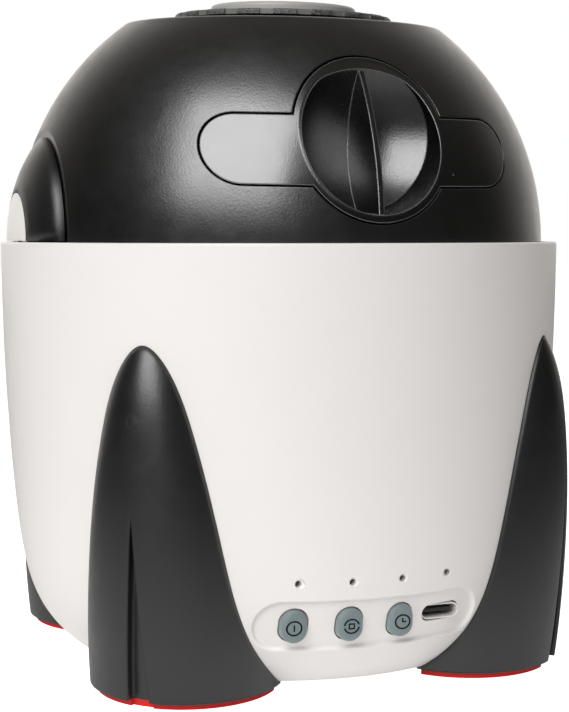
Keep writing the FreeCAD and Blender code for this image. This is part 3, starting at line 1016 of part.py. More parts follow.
# ---- write every piece ----
def base_pieces():
    export("cup_shell", make_cup())
    leg, pad = make_leg_and_pad()
    screws = []
    for name, angle in LEG_ANGLES.items():
        export("leg_" + name, turned(leg, angle))
        export("foot_pad_" + name, turned(pad, angle))
        for z in LEG_SCREW_Z:
            seat = Vector(0, -screw_seat_radius(z), z)
            length = cup_radius(z) + LEG_SCREW_BITE - screw_seat_radius(z)
            screws.append(turned(pan_screw(length, seat, Y_AXIS * -1), angle))
    export("leg_screws", Part.makeCompound(screws))
    for name, x in zip(BUTTON_NAMES, BUTTON_X):
        export(name, make_button(x))
    export("button_switches", Part.makeCompound([make_switch(x) for x in BUTTON_X]))
    usb_shell, usb_tongue = make_usb()
    export("usb_inlet_shell", usb_shell)
    export("usb_inlet_tongue", usb_tongue)
    export("light_guide", make_light_guides())
    export("indicator_leds", Part.makeCompound(make_indicator_leds()))
    export("control_board", box(-BOARD_HALF_WIDTH, BOARD_HALF_WIDTH, BOARD_FRONT_Y, BOARD_REAR_Y,
                                BOARD_BOTTOM_Z, BOARD_TOP_Z))
    export("yoke", make_yoke())
    seat = Vector(0, -YOKE_POST_RADIUS, YOKE_Z + YOKE_THICKNESS)
    yoke_screw = pan_screw(YOKE_SCREW_LENGTH, seat, Z_AXIS * -1)
    export("yoke_screws", Part.makeCompound([turned(yoke_screw, angle) for angle in POST_ANGLES]))
    cover, cap = make_ear()
    export("ear_cover_right", cover)
    export("ear_cover_left", mirrored(cover))
    export("ear_cap_right", cap)
    export("ear_cap_left", mirrored(cap))
    export("bottom_cover", make_bottom_cover())
    seat = Vector(0, -COVER_BOSS_R, CUP_BOTTOM_Z + SCREW_HEAD_HEIGHT)
    bottom_screw = pan_screw(COVER_BOSS_TOP - BOSS_END - SCREW_END_GAP - seat.z, seat, Z_AXIS)
    bottom_screws = [turned(bottom_screw, angle) for angle in LEG_ANGLES.values()]
    export("bottom_screws", Part.makeCompound(bottom_screws))
    cells, holder = make_batteries()
    export("battery_cells", Part.makeCompound(cells))
    export("battery_holder", holder)
    board, spacers, parts = make_main_board()
    export("main_board", board)
    export("board_spacers", Part.makeCompound(spacers))
    export("board_parts", Part.makeCompound(parts))


def head_pieces():
    outer, inner = crown_ball(0), crown_ball(BALL_WALL)
    upper, lower = make_shells(outer, inner)
    export_head("dome_shell", upper)
    export_head("lower_shell", lower)
    screws = [pan_screw(SHELL_SCREW_LENGTH, Vector(x, y, SHELL_SCREW_SEAT), Z_AXIS)
              for x, y in head_boss_places()]
    export_head("shell_screws", Part.makeCompound(screws))
    hub, pivot, washer = make_hub(), make_pivot_screw(), make_friction_washer()
    export_head("tilt_hub_right", hub)
    export_head("tilt_hub_left", mirrored(hub))
    export_head("pivot_screws", Part.makeCompound([pivot, mirrored(pivot)]))
    export_head("friction_washers", Part.makeCompound([washer, mirrored(washer)]))
    export_head("tray_guide", make_tray_guide())
    export_head("lens_mount", make_lens_mount())
    length = LENS_DECK_Z + DECK_THICKNESS + FRAME_SCREW_BITE - DECK_BOTTOM
    long_screws = [pan_screw(length, Vector(x, y, DECK_BOTTOM), Z_AXIS) for x, y in post_places()]
    export_head("frame_screws", Part.makeCompound(long_screws))
    export_head("lamp_housing", make_lamp_housing())
    lamp_screws = [pan_screw(LAMP_SCREW_LENGTH, Vector(x, y, DECK_BOTTOM - LAMP_FLANGE), Z_AXIS)
                   for x, y in lamp_screw_places()]
    export_head("lamp_screws", Part.makeCompound(lamp_screws))
    board, led, sink, condenser = make_lamp()
    export_head("led_board", board)
    export_head("led_emitter", led)
    export_head("heat_sink", sink)
    export_head("condenser_lens", condenser)
    motor, pinion = make_motor()
    export_head("rotation_motor", motor)
    export_head("motor_pinion", pinion)
    export_head("drawer_front", make_drawer_front(outer))
    export_head("disc_tray", make_tray())
    lug_top, length = TRAY_TOP + LUG_HEIGHT, LUG_HEIGHT + TRAY_THICKNESS - SLIDE_GAP
    drawer_screws = [pan_screw(length, Vector(x, TONGUE_SCREW_Y, lug_top), Z_AXIS * -1)
                     for x in (-TONGUE_X, TONGUE_X)]
    export_head("drawer_screws", Part.makeCompound(drawer_screws))
    carrier, film = make_disc_pieces()
    export_head("disc_carrier", carrier)
    export_head("star_disc", film)
    export_head("focus_ring", make_focus_ring())
    export_head("lens_barrel", make_barrel())
    export_head("lens_bezel", make_bezel())
    export_head("front_lens", lens_solid(FRONT_LENS_RADIUS, FRONT_LENS_Z + LENS_SEAT_GAP, LENS_RIM,
                                         FRONT_LENS_CROWN))
    export_head("rear_lens", lens_solid(REAR_LENS_RADIUS, REAR_LENS_Z, LENS_RIM, REAR_LENS_CROWN,
                                        REAR_LENS_HOLLOW))


base_pieces()
head_pieces()
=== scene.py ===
import math
import bmesh
import bpy
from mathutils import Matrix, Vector


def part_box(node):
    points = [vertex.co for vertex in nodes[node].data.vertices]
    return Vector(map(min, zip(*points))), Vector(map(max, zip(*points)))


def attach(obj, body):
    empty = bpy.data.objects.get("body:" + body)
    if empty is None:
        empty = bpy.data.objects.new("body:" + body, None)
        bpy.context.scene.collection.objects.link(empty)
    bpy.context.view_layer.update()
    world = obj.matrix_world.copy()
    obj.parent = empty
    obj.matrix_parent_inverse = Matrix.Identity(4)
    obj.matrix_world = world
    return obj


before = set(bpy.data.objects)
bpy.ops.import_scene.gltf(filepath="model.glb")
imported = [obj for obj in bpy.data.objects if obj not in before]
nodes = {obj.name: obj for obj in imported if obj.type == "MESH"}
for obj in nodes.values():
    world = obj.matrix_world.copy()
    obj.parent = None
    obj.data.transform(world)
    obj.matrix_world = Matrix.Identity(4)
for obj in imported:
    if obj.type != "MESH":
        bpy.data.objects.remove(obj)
bpy.context.view_layer.update()


# ---- studio ----
# A pale paper tabletop in a dim room, under one softbox at the front left.
# The room's wall behind the projector is bright, and a weaker, diffuse light comes from the left.
# The camera stands a little left of the front, just above the cup's rim.
bpy.context.scene.view_settings.view_transform = "Standard"


def set_inputs(tree, node, wired):
    """Gives a node its inputs, a socket as a wire and anything else as a value."""
    for label, value in wired.items():
        if isinstance(value, bpy.types.NodeSocket):
            tree.links.new(value, node.inputs[label])
        else:
            node.inputs[label].default_value = value


def add_node(tree, kind, wired=None, **settings):
    """Adds a node with its settings and its inputs."""
    node = tree.nodes.new("ShaderNode" + kind)
    for name, value in settings.items():
        setattr(node, name, value)
    set_inputs(tree, node, wired or {})
    return node


def reckon(tree, operation, *values):
    """Works out a number from other numbers."""
    return add_node(tree, "Math", dict(enumerate(values)), operation=operation).outputs[0]


def reckon_vector(tree, operation, *values):
    """Works out a vector from other vectors, or their length or product."""
    node = add_node(tree, "VectorMath", dict(enumerate(values)), operation=operation)
    return node.outputs["Value" if operation in ("LENGTH", "DOT_PRODUCT") else "Vector"]


def remap(tree, value, start, end, low=0.0, high=1.0):
    """Takes a value from start and end to low and high, and holds it there beyond them."""
    return add_node(tree, "MapRange", {"Value": value, "From Min": start, "From Max": end,
                                       "To Min": low, "To Max": high}).outputs["Result"]


def blend_tone(tree, share, low, high):
    """Mixes two colours, or colour sockets, by a mask."""
    mix = add_node(tree, "Mix", {"Factor": share}, data_type="RGBA")
    for label, tone in (("A", low), ("B", high)):
        socket = next(s for s in mix.inputs if s.name == label and s.type == "RGBA")
        if isinstance(tone, bpy.types.NodeSocket):
            tree.links.new(tone, socket)
        else:
            socket.default_value = (*tone, 1)
    return next(s for s in mix.outputs if s.type == "RGBA")


def new_finish(name):
    """Starts a material and gives its node tree, its shader and the piece's own coordinates."""
    material = bpy.data.materials.new(name)
    material.use_nodes = True
    tree = material.node_tree
    return material, tree, tree.nodes["Principled BSDF"], add_node(tree, "TexCoord").outputs["Object"]


TABLE_HALF = 4.0                              # all studio lengths are in metres
SEEN_DARK, SEEN_PALE, SEEN_GLOW = (0.93,) * 3, (0.96,) * 3, 0.85     # to the camera
BOUNCE_FAR, BOUNCE_NEAR = (0.12,) * 3, (0.85,) * 3            # to everything else
GLOW_FAR, GLOW_NEAR = 0.02, 0.32
FADE_START, FADE_END = 0.20, 0.55             # where the light thrown back by the paper fades
GLEAM_START, GLEAM_END, GLEAM_SHARE = 0.08, 0.30, 0.55     # the same for its mirror image


def paper_finish():
    """Paper that the camera sees nearly white. The light that it throws back fades with distance."""
    paper, tree, shader, point = new_finish("tabletop_paper")
    mottle = add_node(tree, "TexNoise", {"Vector": point, "Scale": 9.0, "Detail": 3.0})
    seen_tone = blend_tone(tree, mottle.outputs["Fac"], SEEN_DARK, SEEN_PALE)
    rays = add_node(tree, "LightPath").outputs
    far = reckon_vector(tree, "LENGTH", point)
    share = add_node(tree, "Mix", {"Factor": rays["Is Glossy Ray"],
                                   "A": remap(tree, far, FADE_END, FADE_START),
                                   "B": remap(tree, far, GLEAM_END, GLEAM_START, 0.0, GLEAM_SHARE)},
                     data_type="FLOAT").outputs["Result"]
    bounce = blend_tone(tree, share, BOUNCE_FAR, BOUNCE_NEAR)
    glow = remap(tree, share, 0.0, 1.0, GLOW_FAR, GLOW_NEAR)
    set_inputs(tree, shader, {
        "Base Color": blend_tone(tree, rays["Is Camera Ray"], bounce, seen_tone),
        "Roughness": 0.85, "Specular IOR Level": 0.2, "Emission Color": (1, 1, 1, 1),
        "Emission Strength": reckon(tree, "MULTIPLY_ADD", rays["Is Camera Ray"], SEEN_GLOW, glow)})
    return paper


tabletop_mesh = bmesh.new()
bmesh.ops.create_grid(tabletop_mesh, x_segments=1, y_segments=1, size=TABLE_HALF)
tabletop_data = bpy.data.meshes.new("tabletop")
tabletop_mesh.to_mesh(tabletop_data)
tabletop_mesh.free()
tabletop_data.materials.append(paper_finish())
tabletop = bpy.data.objects.new("tabletop", tabletop_data)
bpy.context.scene.collection.objects.link(tabletop)

CEILING_LOW, CEILING_HIGH = 0.010, 0.09       # light from eye level, and from straight above
FILL_RIGHT, FILL_LEFT = 0.12, 0.42            # diffuse light only
REAR_WAY = (0.34, 0.94, 0.0)                  # towards the middle of the bright wall
REAR_LIGHT, REAR_FALL = 1.8, 3.5              # its strength, and how steeply it fades to its sides
WALL_TONE = (1.0, 0.955, 0.905, 1)


def light_room():
    """Dim warm room, bright behind the projector. The camera sees plain white round the tabletop."""
    room = bpy.data.worlds.new("white_room")
    bpy.context.scene.world = room
    room.use_nodes = True
    tree = room.node_tree
    tree.nodes.clear()
    way = add_node(tree, "TexCoord").outputs["Generated"]
    parts = add_node(tree, "SeparateXYZ", {"Vector": way}).outputs
    rays = add_node(tree, "LightPath").outputs
    ceiling = remap(tree, parts["Z"], 0.0, 1.0, CEILING_LOW, CEILING_HIGH)
    left_wall = remap(tree, parts["X"], 0.0, -1.0, FILL_RIGHT, FILL_LEFT)
    fill = reckon(tree, "MULTIPLY_ADD", rays["Is Diffuse Ray"], left_wall, ceiling)
    rearward = reckon(tree, "MAXIMUM", reckon_vector(tree, "DOT_PRODUCT", way, REAR_WAY), 0.0)
    rear_wall = reckon(tree, "POWER", rearward, REAR_FALL)
    strength = reckon(tree, "MULTIPLY_ADD", rear_wall, REAR_LIGHT, fill)
    walls = add_node(tree, "Background", {"Color": WALL_TONE, "Strength": strength})
    backdrop = add_node(tree, "Background", {"Color": (1, 1, 1, 1), "Strength": 1.0})
    mix = add_node(tree, "MixShader", {0: rays["Is Camera Ray"], 1: walls.outputs[0],
                                       2: backdrop.outputs[0]})
    add_node(tree, "OutputWorld", {"Surface": mix.outputs[0]})


light_room()

SUBJECT = Vector((0.0, 0.0, 0.085))
SOFTBOX_TURN, SOFTBOX_RISE = math.radians(-41.0), math.radians(38.5)
SOFTBOX_DISTANCE, SOFTBOX_SIDE, SOFTBOX_POWER = 1.0, 0.78, 8.7


def look_along(item, way):
    """Turns a lamp or a camera to look along a direction."""
    item.rotation_mode = "QUATERNION"
    item.rotation_quaternion = way.to_track_quat("-Z", "Y")


softbox_lamp = bpy.data.lights.new("key_softbox", "AREA")
softbox_lamp.shape = "SQUARE"
softbox_lamp.size = SOFTBOX_SIDE
softbox_lamp.energy = SOFTBOX_POWER
softbox = bpy.data.objects.new("key_softbox", softbox_lamp)
bpy.context.scene.collection.objects.link(softbox)
softbox_way = Vector((math.sin(SOFTBOX_TURN) * math.cos(SOFTBOX_RISE),
                      -math.cos(SOFTBOX_TURN) * math.cos(SOFTBOX_RISE), math.sin(SOFTBOX_RISE)))
softbox.location = SUBJECT + softbox_way * SOFTBOX_DISTANCE
look_along(softbox, -softbox_way)

CAMERA_PLACE = Vector((-0.12903, -0.35566, 0.09806))
CAMERA_TURN, CAMERA_DROP = math.radians(20.15), math.radians(4.50)
camera_data = bpy.data.cameras.new("camera")
camera_data.lens, camera_data.sensor_width, camera_data.sensor_fit = 79.1, 36.0, "AUTO"
camera_data.clip_start = 0.01
camera = bpy.data.objects.new("camera", camera_data)
bpy.context.scene.collection.objects.link(camera)
camera.location = CAMERA_PLACE
look_along(camera, Vector((math.sin(CAMERA_TURN) * math.cos(CAMERA_DROP),
                           math.cos(CAMERA_TURN) * math.cos(CAMERA_DROP), -math.sin(CAMERA_DROP))))
bpy.context.scene.camera = camera


# ---- cup ----
# The cup is one injection moulding in off-white ABS, 2 mm thick, with a fine satin skin from the mould.
# It carries everything else: legs outside, yoke posts and boards inside, the control panel in its front.
MM = 0.001
GLINT_START, GLINT_FULL = 0.35, 0.7           # heights of the bumps that get a painted glint
EDGE_START, EDGE_FULL = 0.995, 0.85           # cosines of how far an edge turns the normal
MOULDING_SPREAD = 40.0                        # drifts of tone in a moulding, a metre
SMEAR_FINER = 4.0                             # smears in the gloss to one drift of tone
NOISE_LOW, NOISE_HIGH = 0.3, 0.7              # nearly all of a noise lies between these


def new_group(name, inputs, outputs):
    """Starts a shader node group with named inputs, given as name: (socket kind, default), and outputs."""
    group = bpy.data.node_groups.new(name, "ShaderNodeTree")
    for label, (kind, value) in inputs.items():
        socket = group.interface.new_socket(label, in_out="INPUT", socket_type="NodeSocket" + kind)
        if value is not None:
            socket.default_value = value
    for label, kind in outputs.items():
        group.interface.new_socket(label, in_out="OUTPUT", socket_type="NodeSocket" + kind)
    return group, group.nodes.new("NodeGroupInput").outputs, group.nodes.new("NodeGroupOutput")


def make_mould_skin():
    """Spark-eroded skin of an injection mould: rounded pits between small bumps, and a mask of their tops for
    painted glints. Grain is bumps a metre.
    """
    group, given, out = new_group("mould_skin", {"Point": ("Vector", None), "Grain": ("Float", 2400.0)},
                                  {"Height": "Float", "Glint": "Float"})
    pits = add_node(group, "TexVoronoi", {"Vector": given["Point"], "Scale": given["Grain"]},
                    feature="SMOOTH_F1").outputs["Distance"]
    bumps = add_node(group, "TexNoise", {"Vector": given["Point"], "Scale": given["Grain"],
                                         "Detail": 2.0}).outputs["Fac"]
    set_inputs(group, out, {"Height": reckon(group, "ADD", pits, bumps),
                            "Glint": remap(group, bumps, GLINT_START, GLINT_FULL)})
    return group


def make_soft_edge():
    """Rounded edge of a moulding: the turned normal, and a mask of the edge itself."""
    group, given, out = new_group("soft_edge", {"Radius": ("Float", 0.3 * MM)},
                                  {"Normal": "Vector", "Edge": "Float"})
    rounded = add_node(group, "Bevel", {"Radius": given["Radius"]}, samples=6).outputs["Normal"]
    flat = add_node(group, "NewGeometry").outputs["Normal"]
    turn = reckon_vector(group, "DOT_PRODUCT", rounded, flat)
    set_inputs(group, out, {"Normal": rounded, "Edge": remap(group, turn, EDGE_START, EDGE_FULL)})
    return group


def make_uneven():
    """Broad, faint unevenness from moulding and handling: drifting tone, and smears in the gloss."""
    inputs = {"Point": ("Vector", None), "Spread": ("Float", MOULDING_SPREAD)}
    group, given, out = new_group("uneven", inputs, {"Drift": "Float", "Smear": "Float"})
    drift = add_node(group, "TexNoise", {"Vector": given["Point"], "Scale": given["Spread"], "Detail": 3.0})
    finer = reckon(group, "MULTIPLY", given["Spread"], SMEAR_FINER)
    smear = add_node(group, "TexNoise", {"Vector": given["Point"], "Scale": finer, "Detail": 5.0,
                                         "Roughness": 0.65, "Distortion": 0.6})
    set_inputs(group, out, {"Drift": drift.outputs["Fac"], "Smear": smear.outputs["Fac"]})
    return group


mould_skin, soft_edge, uneven = make_mould_skin(), make_soft_edge(), make_uneven()


def place_group(tree, group, wired):
    """Places a node group in a material and gives its outputs."""
    return add_node(tree, "Group", wired, node_tree=group).outputs


def over_noise(tree, noise, values):
    """Spreads a material between two values by a noise."""
    return remap(tree, noise, NOISE_LOW, NOISE_HIGH, values[0], values[1])


def relief(tree, height, depth, wired=None):
    """Normal of a skin that is depth millimetres deep. wired may give the normal under it."""
    inputs = {"Height": height, "Distance": depth * MM, **(wired or {})}
    return add_node(tree, "Bump", inputs).outputs["Normal"]


def moulded(name, tones, gloss, grain, depth, edge=0.3, painted_edge_highlight=None, ior=1.54):
    """Moulded part. It has two near tones and two roughnesses; its skin's depth and its edge are in mm. A
    painted_edge_highlight tone paints its edges paler, as a highlight.
    """
    material, tree, shader, point = new_finish(name)
    skin = place_group(tree, mould_skin, {"Point": point, "Grain": grain})
    rim = place_group(tree, soft_edge, {"Radius": edge * MM})
    wear = place_group(tree, uneven, {"Point": point, "Spread": MOULDING_SPREAD})
    colour = blend_tone(tree, wear["Drift"], tones[0], tones[1])
    # painted highlight: the edges are paled as if a rounded edge caught the light
    if painted_edge_highlight:
        colour = blend_tone(tree, rim["Edge"], colour, painted_edge_highlight)
    set_inputs(tree, shader, {"Base Color": colour, "Roughness": over_noise(tree, wear["Smear"], gloss),
                              "IOR": ior,
                              "Normal": relief(tree, skin["Height"], depth, {"Normal": rim["Normal"]})})
    return material


def finish_in(material, *names):
    """Gives CAD pieces their material."""
    for name in names:
        for place in nodes[name].material_slots:
            place.material = material


cup_white = moulded("cup_white", ((0.812, 0.789, 0.772), (0.836, 0.813, 0.796)), (0.34, 0.42),
                    grain=3000.0, depth=0.004, edge=0.12)
finish_in(cup_white, "cup_shell")


# ---- circuit boards and light guide ----
# Two green glass-fibre boards. The upright one stands behind the panel and carries switches and LEDs.
# Switches and components are cased in black plastic and soldered on.
# A milky acrylic bar carries the light of the LEDs to the pinholes in the cup.
TRACK_PITCH = 1.6 * MM
TRACK_LIFT = 1.7                              # how much paler the mask is over a copper track
PADS_TO_TRACK = 0.8
PAD_EDGE, PAD_CORE = 0.2, 0.16                # radii, as shares of the space between pads


def circuit_finish(name, mask_tone):
    """Solder mask over copper tracks, with bare pads."""
    material, tree, shader, point = new_finish(name)
    lanes = add_node(tree, "TexBrick", {"Vector": point, "Scale": 1.0 / TRACK_PITCH, "Mortar Size": 0.09,
                                        "Brick Width": 2.6, "Row Height": 0.5,
                                        "Color1": (1, 1, 1, 1), "Color2": (0.4, 0.4, 0.4, 1),
                                        "Mortar": (0, 0, 0, 1)}).outputs["Fac"]
    holes = add_node(tree, "TexVoronoi", {"Vector": point, "Scale": PADS_TO_TRACK / TRACK_PITCH,
                                           "Randomness": 0.7})
    pad = remap(tree, holes.outputs["Distance"], PAD_EDGE, PAD_CORE)
    masked = blend_tone(tree, lanes, mask_tone, tuple(t * TRACK_LIFT for t in mask_tone))
    set_inputs(tree, shader, {"Base Color": blend_tone(tree, pad, masked, (0.72, 0.66, 0.45)),
                              "Metallic": pad, "Roughness": 0.35, "Coat Weight": 0.3,
                              "Normal": relief(tree, lanes, 0.03)})
    return material


board_green = circuit_finish("board_green", (0.012, 0.10, 0.045))
finish_in(board_green, "control_board", "main_board")
# its edges get a painted highlight, a paler tone along them
component_black = moulded("component_black", ((0.018, 0.018, 0.019), (0.03, 0.03, 0.031)), (0.45, 0.6),
                          grain=5200.0, depth=0.01, edge=0.2, painted_edge_highlight=(0.07, 0.07, 0.07))
finish_in(component_black, "button_switches", "board_parts")


def led_finish():
    """LED package: clear resin over a yellow phosphor that lies unevenly on white ceramic."""
    material, tree, shader, point = new_finish("led_package")
    wear = place_group(tree, uneven, {"Point": point, "Spread": 900.0})
    set_inputs(tree, shader, {
        "Base Color": blend_tone(tree, wear["Drift"], (0.86, 0.80, 0.42), (0.9, 0.88, 0.7)),
        "Roughness": 0.3, "Coat Weight": 0.6})
    return material


finish_in(led_finish(), "indicator_leds", "led_emitter")


FLOW_LIFT = 1.04                              # how much paler a flow line is


def clear_finish(name, tint, roughness, ior, clearness=1.0):
    """Clear part, with faint flow lines. Less clearness makes it milky."""
    material, tree, shader, point = new_finish(name)
    flow = add_node(tree, "TexNoise", {"Vector": point, "Scale": 260.0, "Detail": 2.0,
                                       "Distortion": 1.5}).outputs["Fac"]
    paler = tuple(min(1.0, t * FLOW_LIFT) for t in tint)
    set_inputs(tree, shader, {"Base Color": blend_tone(tree, flow, tint, paler),
                              "Transmission Weight": clearness, "Roughness": roughness, "IOR": ior,
                              "Normal": relief(tree, flow, 0.01)})
    return material


finish_in(clear_finish("milky_acrylic", (0.66, 0.66, 0.65), 0.45, 1.49, clearness=0.35), "light_guide")


# ---- buttons ----
# Three caps in blue-grey silicone rubber stand in the panel, each on its own tact switch.
# Their icons, a switch mark, a turning mark and a clock, are printed on in dark ink.
# its edges get a painted highlight, a paler tone along them
button_blue = moulded("button_blue", ((0.165, 0.212, 0.222), (0.19, 0.242, 0.252)), (0.5, 0.62),
                      grain=2600.0, depth=0.006, edge=0.9, painted_edge_highlight=(0.30, 0.36, 0.365))
button_blue.node_tree.nodes["Principled BSDF"].inputs["Sheen Weight"].default_value = 0.35
finish_in(button_blue, "power_button", "rotation_button", "timer_button")

button_middles = {name: (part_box(name)[0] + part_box(name)[1]) / 2
                  for name in ("power_button", "rotation_button", "timer_button")}
ICON_RADIUS, ICON_LINE, INK = 1.64 * MM, 0.36 * MM, 0.04 * MM
ICON_SQUASH, ICON_DROP = 0.88, 0.24 * MM      # the icons are wider than high, and below the cap's middle
INK_GAP = 0.2 * INK
CORNER_WELD = 0.005 * MM
ARC_STEP = 9                                  # degrees of an arc in one straight piece
IN_FRONT = -0.2                               # any y in front of the projector
icon_ink = moulded("icon_ink", ((0.002, 0.003, 0.004), (0.005, 0.006, 0.008)), (0.7, 0.85),
                   grain=6000.0, depth=0.004, edge=0.02, ior=1.35)


def print_icon(name, button, body, shift, draw):
    """Prints an icon's flat outline onto the button's face; shift is in mm to the right of its middle."""
    mesh = bmesh.new()
    draw(mesh)
    bmesh.ops.triangulate(mesh, faces=mesh.faces[:])
    middle = button_middles[button] + Vector((shift * MM, 0, -ICON_DROP))
    for corner in mesh.verts:
        start = Vector((middle.x + corner.co.x, IN_FRONT, middle.z + corner.co.z * ICON_SQUASH))
        spot = nodes[button].ray_cast(start, Vector((0, 1, 0)))[1]
        corner.co = spot + Vector((0, -INK_GAP, 0))
    sheet = bmesh.ops.extrude_face_region(mesh, geom=mesh.faces[:])
    risen = [part for part in sheet["geom"] if isinstance(part, bmesh.types.BMVert)]
    bmesh.ops.translate(mesh, vec=Vector((0, -INK, 0)), verts=risen)
    bmesh.ops.recalc_face_normals(mesh, faces=mesh.faces[:])
    data = bpy.data.meshes.new(name)
    mesh.to_mesh(data)
    mesh.free()
    data.materials.append(icon_ink)
    icon = bpy.data.objects.new(name, data)
    bpy.context.scene.collection.objects.link(icon)
    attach(icon, body)


def draw_arc(mesh, start, end):
    """Printed arc of an icon's circle, from start to end in degrees, in short straight pieces."""
    steps = int((end - start) / ARC_STEP)
    turns = [math.radians(start + (end - start) * i / steps) for i in range(steps + 1)]
    rows = [[mesh.verts.new((math.cos(t) * r, 0, math.sin(t) * r))
             for r in (ICON_RADIUS - ICON_LINE / 2, ICON_RADIUS + ICON_LINE / 2)] for t in turns]
    for (inner, outer), (next_inner, next_outer) in zip(rows, rows[1:]):
        mesh.faces.new((inner, outer, next_outer, next_inner))
    bmesh.ops.remove_doubles(mesh, verts=mesh.verts[:], dist=CORNER_WELD)


def draw_bar(mesh, x0, x1, z0, z1):
    """Printed straight bar, in mm from the icon's middle."""
    mesh.faces.new([mesh.verts.new((x * MM, 0, z * MM)) for x, z in ((x0, z0), (x1, z0), (x1, z1), (x0, z1))])


def draw_power(mesh):
    """Closed circle round an upright stroke."""
    half_line, reach = 0.17, 0.76
    draw_arc(mesh, 0, 360)
    draw_bar(mesh, -half_line, half_line, -reach, reach)


def draw_rotation(mesh):
    """Two arcs round a hollow square, drawn as four bars."""
    side, hole_x, hole_z = 0.72, 0.42, 0.40
    draw_arc(mesh, 12, 172)
    draw_arc(mesh, 192, 352)
    draw_bar(mesh, -side, side, hole_z, side)
    draw_bar(mesh, -side, side, -side, -hole_z)
    draw_bar(mesh, -side, -hole_x, -hole_z, hole_z)
    draw_bar(mesh, hole_x, side, -hole_z, hole_z)


def draw_timer(mesh):
    """Clock with its hands at three."""
    half_line, long_hand, short_hand = 0.16, 0.90, 0.82
    draw_arc(mesh, 0, 360)
    draw_bar(mesh, -half_line, half_line, -half_line, long_hand)
    draw_bar(mesh, half_line, short_hand, -half_line, half_line)


print_icon("power_icon", "power_button", "power_key", -0.4, draw_power)
print_icon("rotation_icon", "rotation_button", "rotation_key", 0.0, draw_rotation)
print_icon("timer_icon", "timer_button", "timer_key", 0.12, draw_timer)


# ---- charging inlet ----
# The USB-C inlet is a drawn stainless shell, soldered to the control board behind the panel's opening.
# Inside it stands a black moulded tongue that carries the contacts.
WORN = 0.86                                   # tone of worn metal, as a share of its tone when new


def metal_finish(name, tone, gloss, brush, pitch=900.0, worn_tone=None, metal=1.0):
    """Bare or plated metal, with fine scratches that run along the axis where brush is small."""
    material, tree, shader, point = new_finish(name)
    along = add_node(tree, "Mapping", {"Vector": point, "Scale": brush})
    lines = add_node(tree, "TexNoise", {"Vector": along.outputs["Vector"], "Scale": pitch,
                                        "Detail": 4.0}).outputs["Fac"]
    rim = place_group(tree, soft_edge, {"Radius": 0.2 * MM})
    wear = place_group(tree, uneven, {"Point": point, "Spread": 160.0})
    worn = worn_tone or tuple(t * WORN for t in tone)
    set_inputs(tree, shader, {"Base Color": blend_tone(tree, wear["Drift"], tone, worn), "Metallic": metal,
                              "Roughness": over_noise(tree, lines, gloss),
                              "Normal": relief(tree, lines, 0.006, {"Normal": rim["Normal"]})})
    return material


inlet_steel = metal_finish("inlet_steel", (0.96, 0.93, 0.89), (0.3, 0.45), (1, 0.15, 1), metal=0.2)
finish_in(inlet_steel, "usb_inlet_shell")
finish_in(component_black, "usb_inlet_tongue")


# ---- legs, foot pads and screws ----
# Four bullet-shaped legs in black ABS are screwed to the cup from inside, with red rubber pads glued under.
# These screws and all the others are cold-headed steel with a bluish zinc plating.
leg_black = moulded("leg_black", ((0.003, 0.0036, 0.004), (0.0045, 0.005, 0.0056)), (0.33, 0.41),
                    grain=2100.0, depth=0.012, edge=1.1, ior=1.9)
finish_in(leg_black, "leg_front_left", "leg_front_right", "leg_rear_left", "leg_rear_right")
# its edges get a painted highlight, a paler tone along them
pad_red = moulded("pad_red", ((0.56, 0.008, 0.007), (0.64, 0.014, 0.011)), (0.5, 0.66),
                  grain=1500.0, depth=0.02, painted_edge_highlight=(0.68, 0.03, 0.025), ior=1.45)
finish_in(pad_red, "foot_pad_front_left", "foot_pad_front_right", "foot_pad_rear_left",
          "foot_pad_rear_right")
screw_zinc = metal_finish("screw_zinc", (0.72, 0.73, 0.75), (0.22, 0.4), (1, 1, 1), 1500.0,
                          worn_tone=(0.62, 0.66, 0.72))
finish_in(screw_zinc, "leg_screws", "bottom_screws", "shell_screws", "frame_screws", "lamp_screws",
          "drawer_screws", "yoke_screws", "pivot_screws")


# ---- bottom cover ----
# A grey ABS cover closes the cup from below, moulded with ribs round its edge.
# Four screws hold it to bosses inside the cup.
cover_grey = moulded("cover_grey", ((0.30, 0.30, 0.305), (0.345, 0.345, 0.35)), (0.5, 0.62),
                     grain=1900.0, depth=0.02)
finish_in(cover_grey, "bottom_cover")


# ---- inner frames ----
# The yoke and its hubs, the tray guide, the lens mount and barrel, and the lamp's and the cells' housings.
# They and the main board's spacers are plain mouldings in black nylon.
# Screws hold the larger ones in the cup and in the head.
# its edges get a painted highlight, a paler tone along them
frame_black = moulded("frame_black", ((0.028, 0.028, 0.029), (0.042, 0.042, 0.043)), (0.48, 0.62),
                      grain=1700.0, depth=0.02, painted_edge_highlight=(0.075, 0.075, 0.076))
finish_in(frame_black, "yoke", "tilt_hub_left", "tilt_hub_right", "tray_guide", "lens_mount",
          "lamp_housing", "lens_barrel", "battery_holder", "board_spacers")


# ---- cells ----
# Two 18650 cells lie side by side in their holder.
# Each is a drawn steel can with a plain blue sleeve shrunk over it, and bare ends.
BARE_END = 2.4 * MM


def cell_finish():
    """Shrink sleeve along the cell, bare steel at its ends."""
    material, tree, shader, point = new_finish("cell_sleeve")
    low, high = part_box("battery_cells")
    along = add_node(tree, "SeparateXYZ", {"Vector": point}).outputs["X"]
    far = reckon(tree, "ABSOLUTE", reckon(tree, "SUBTRACT", along, (low.x + high.x) / 2))
    end = reckon(tree, "GREATER_THAN", far, (high.x - low.x) / 2 - BARE_END)
    wear = place_group(tree, uneven, {"Point": point, "Spread": 90.0})
    sleeve = blend_tone(tree, wear["Drift"], (0.03, 0.16, 0.42), (0.04, 0.19, 0.47))
    set_inputs(tree, shader, {"Base Color": blend_tone(tree, end, sleeve, (0.74, 0.73, 0.71)),
                              "Metallic": end, "Roughness": 0.3,
                              "Normal": relief(tree, wear["Smear"], 0.05)})
    return material


finish_in(cell_finish(), "battery_cells")


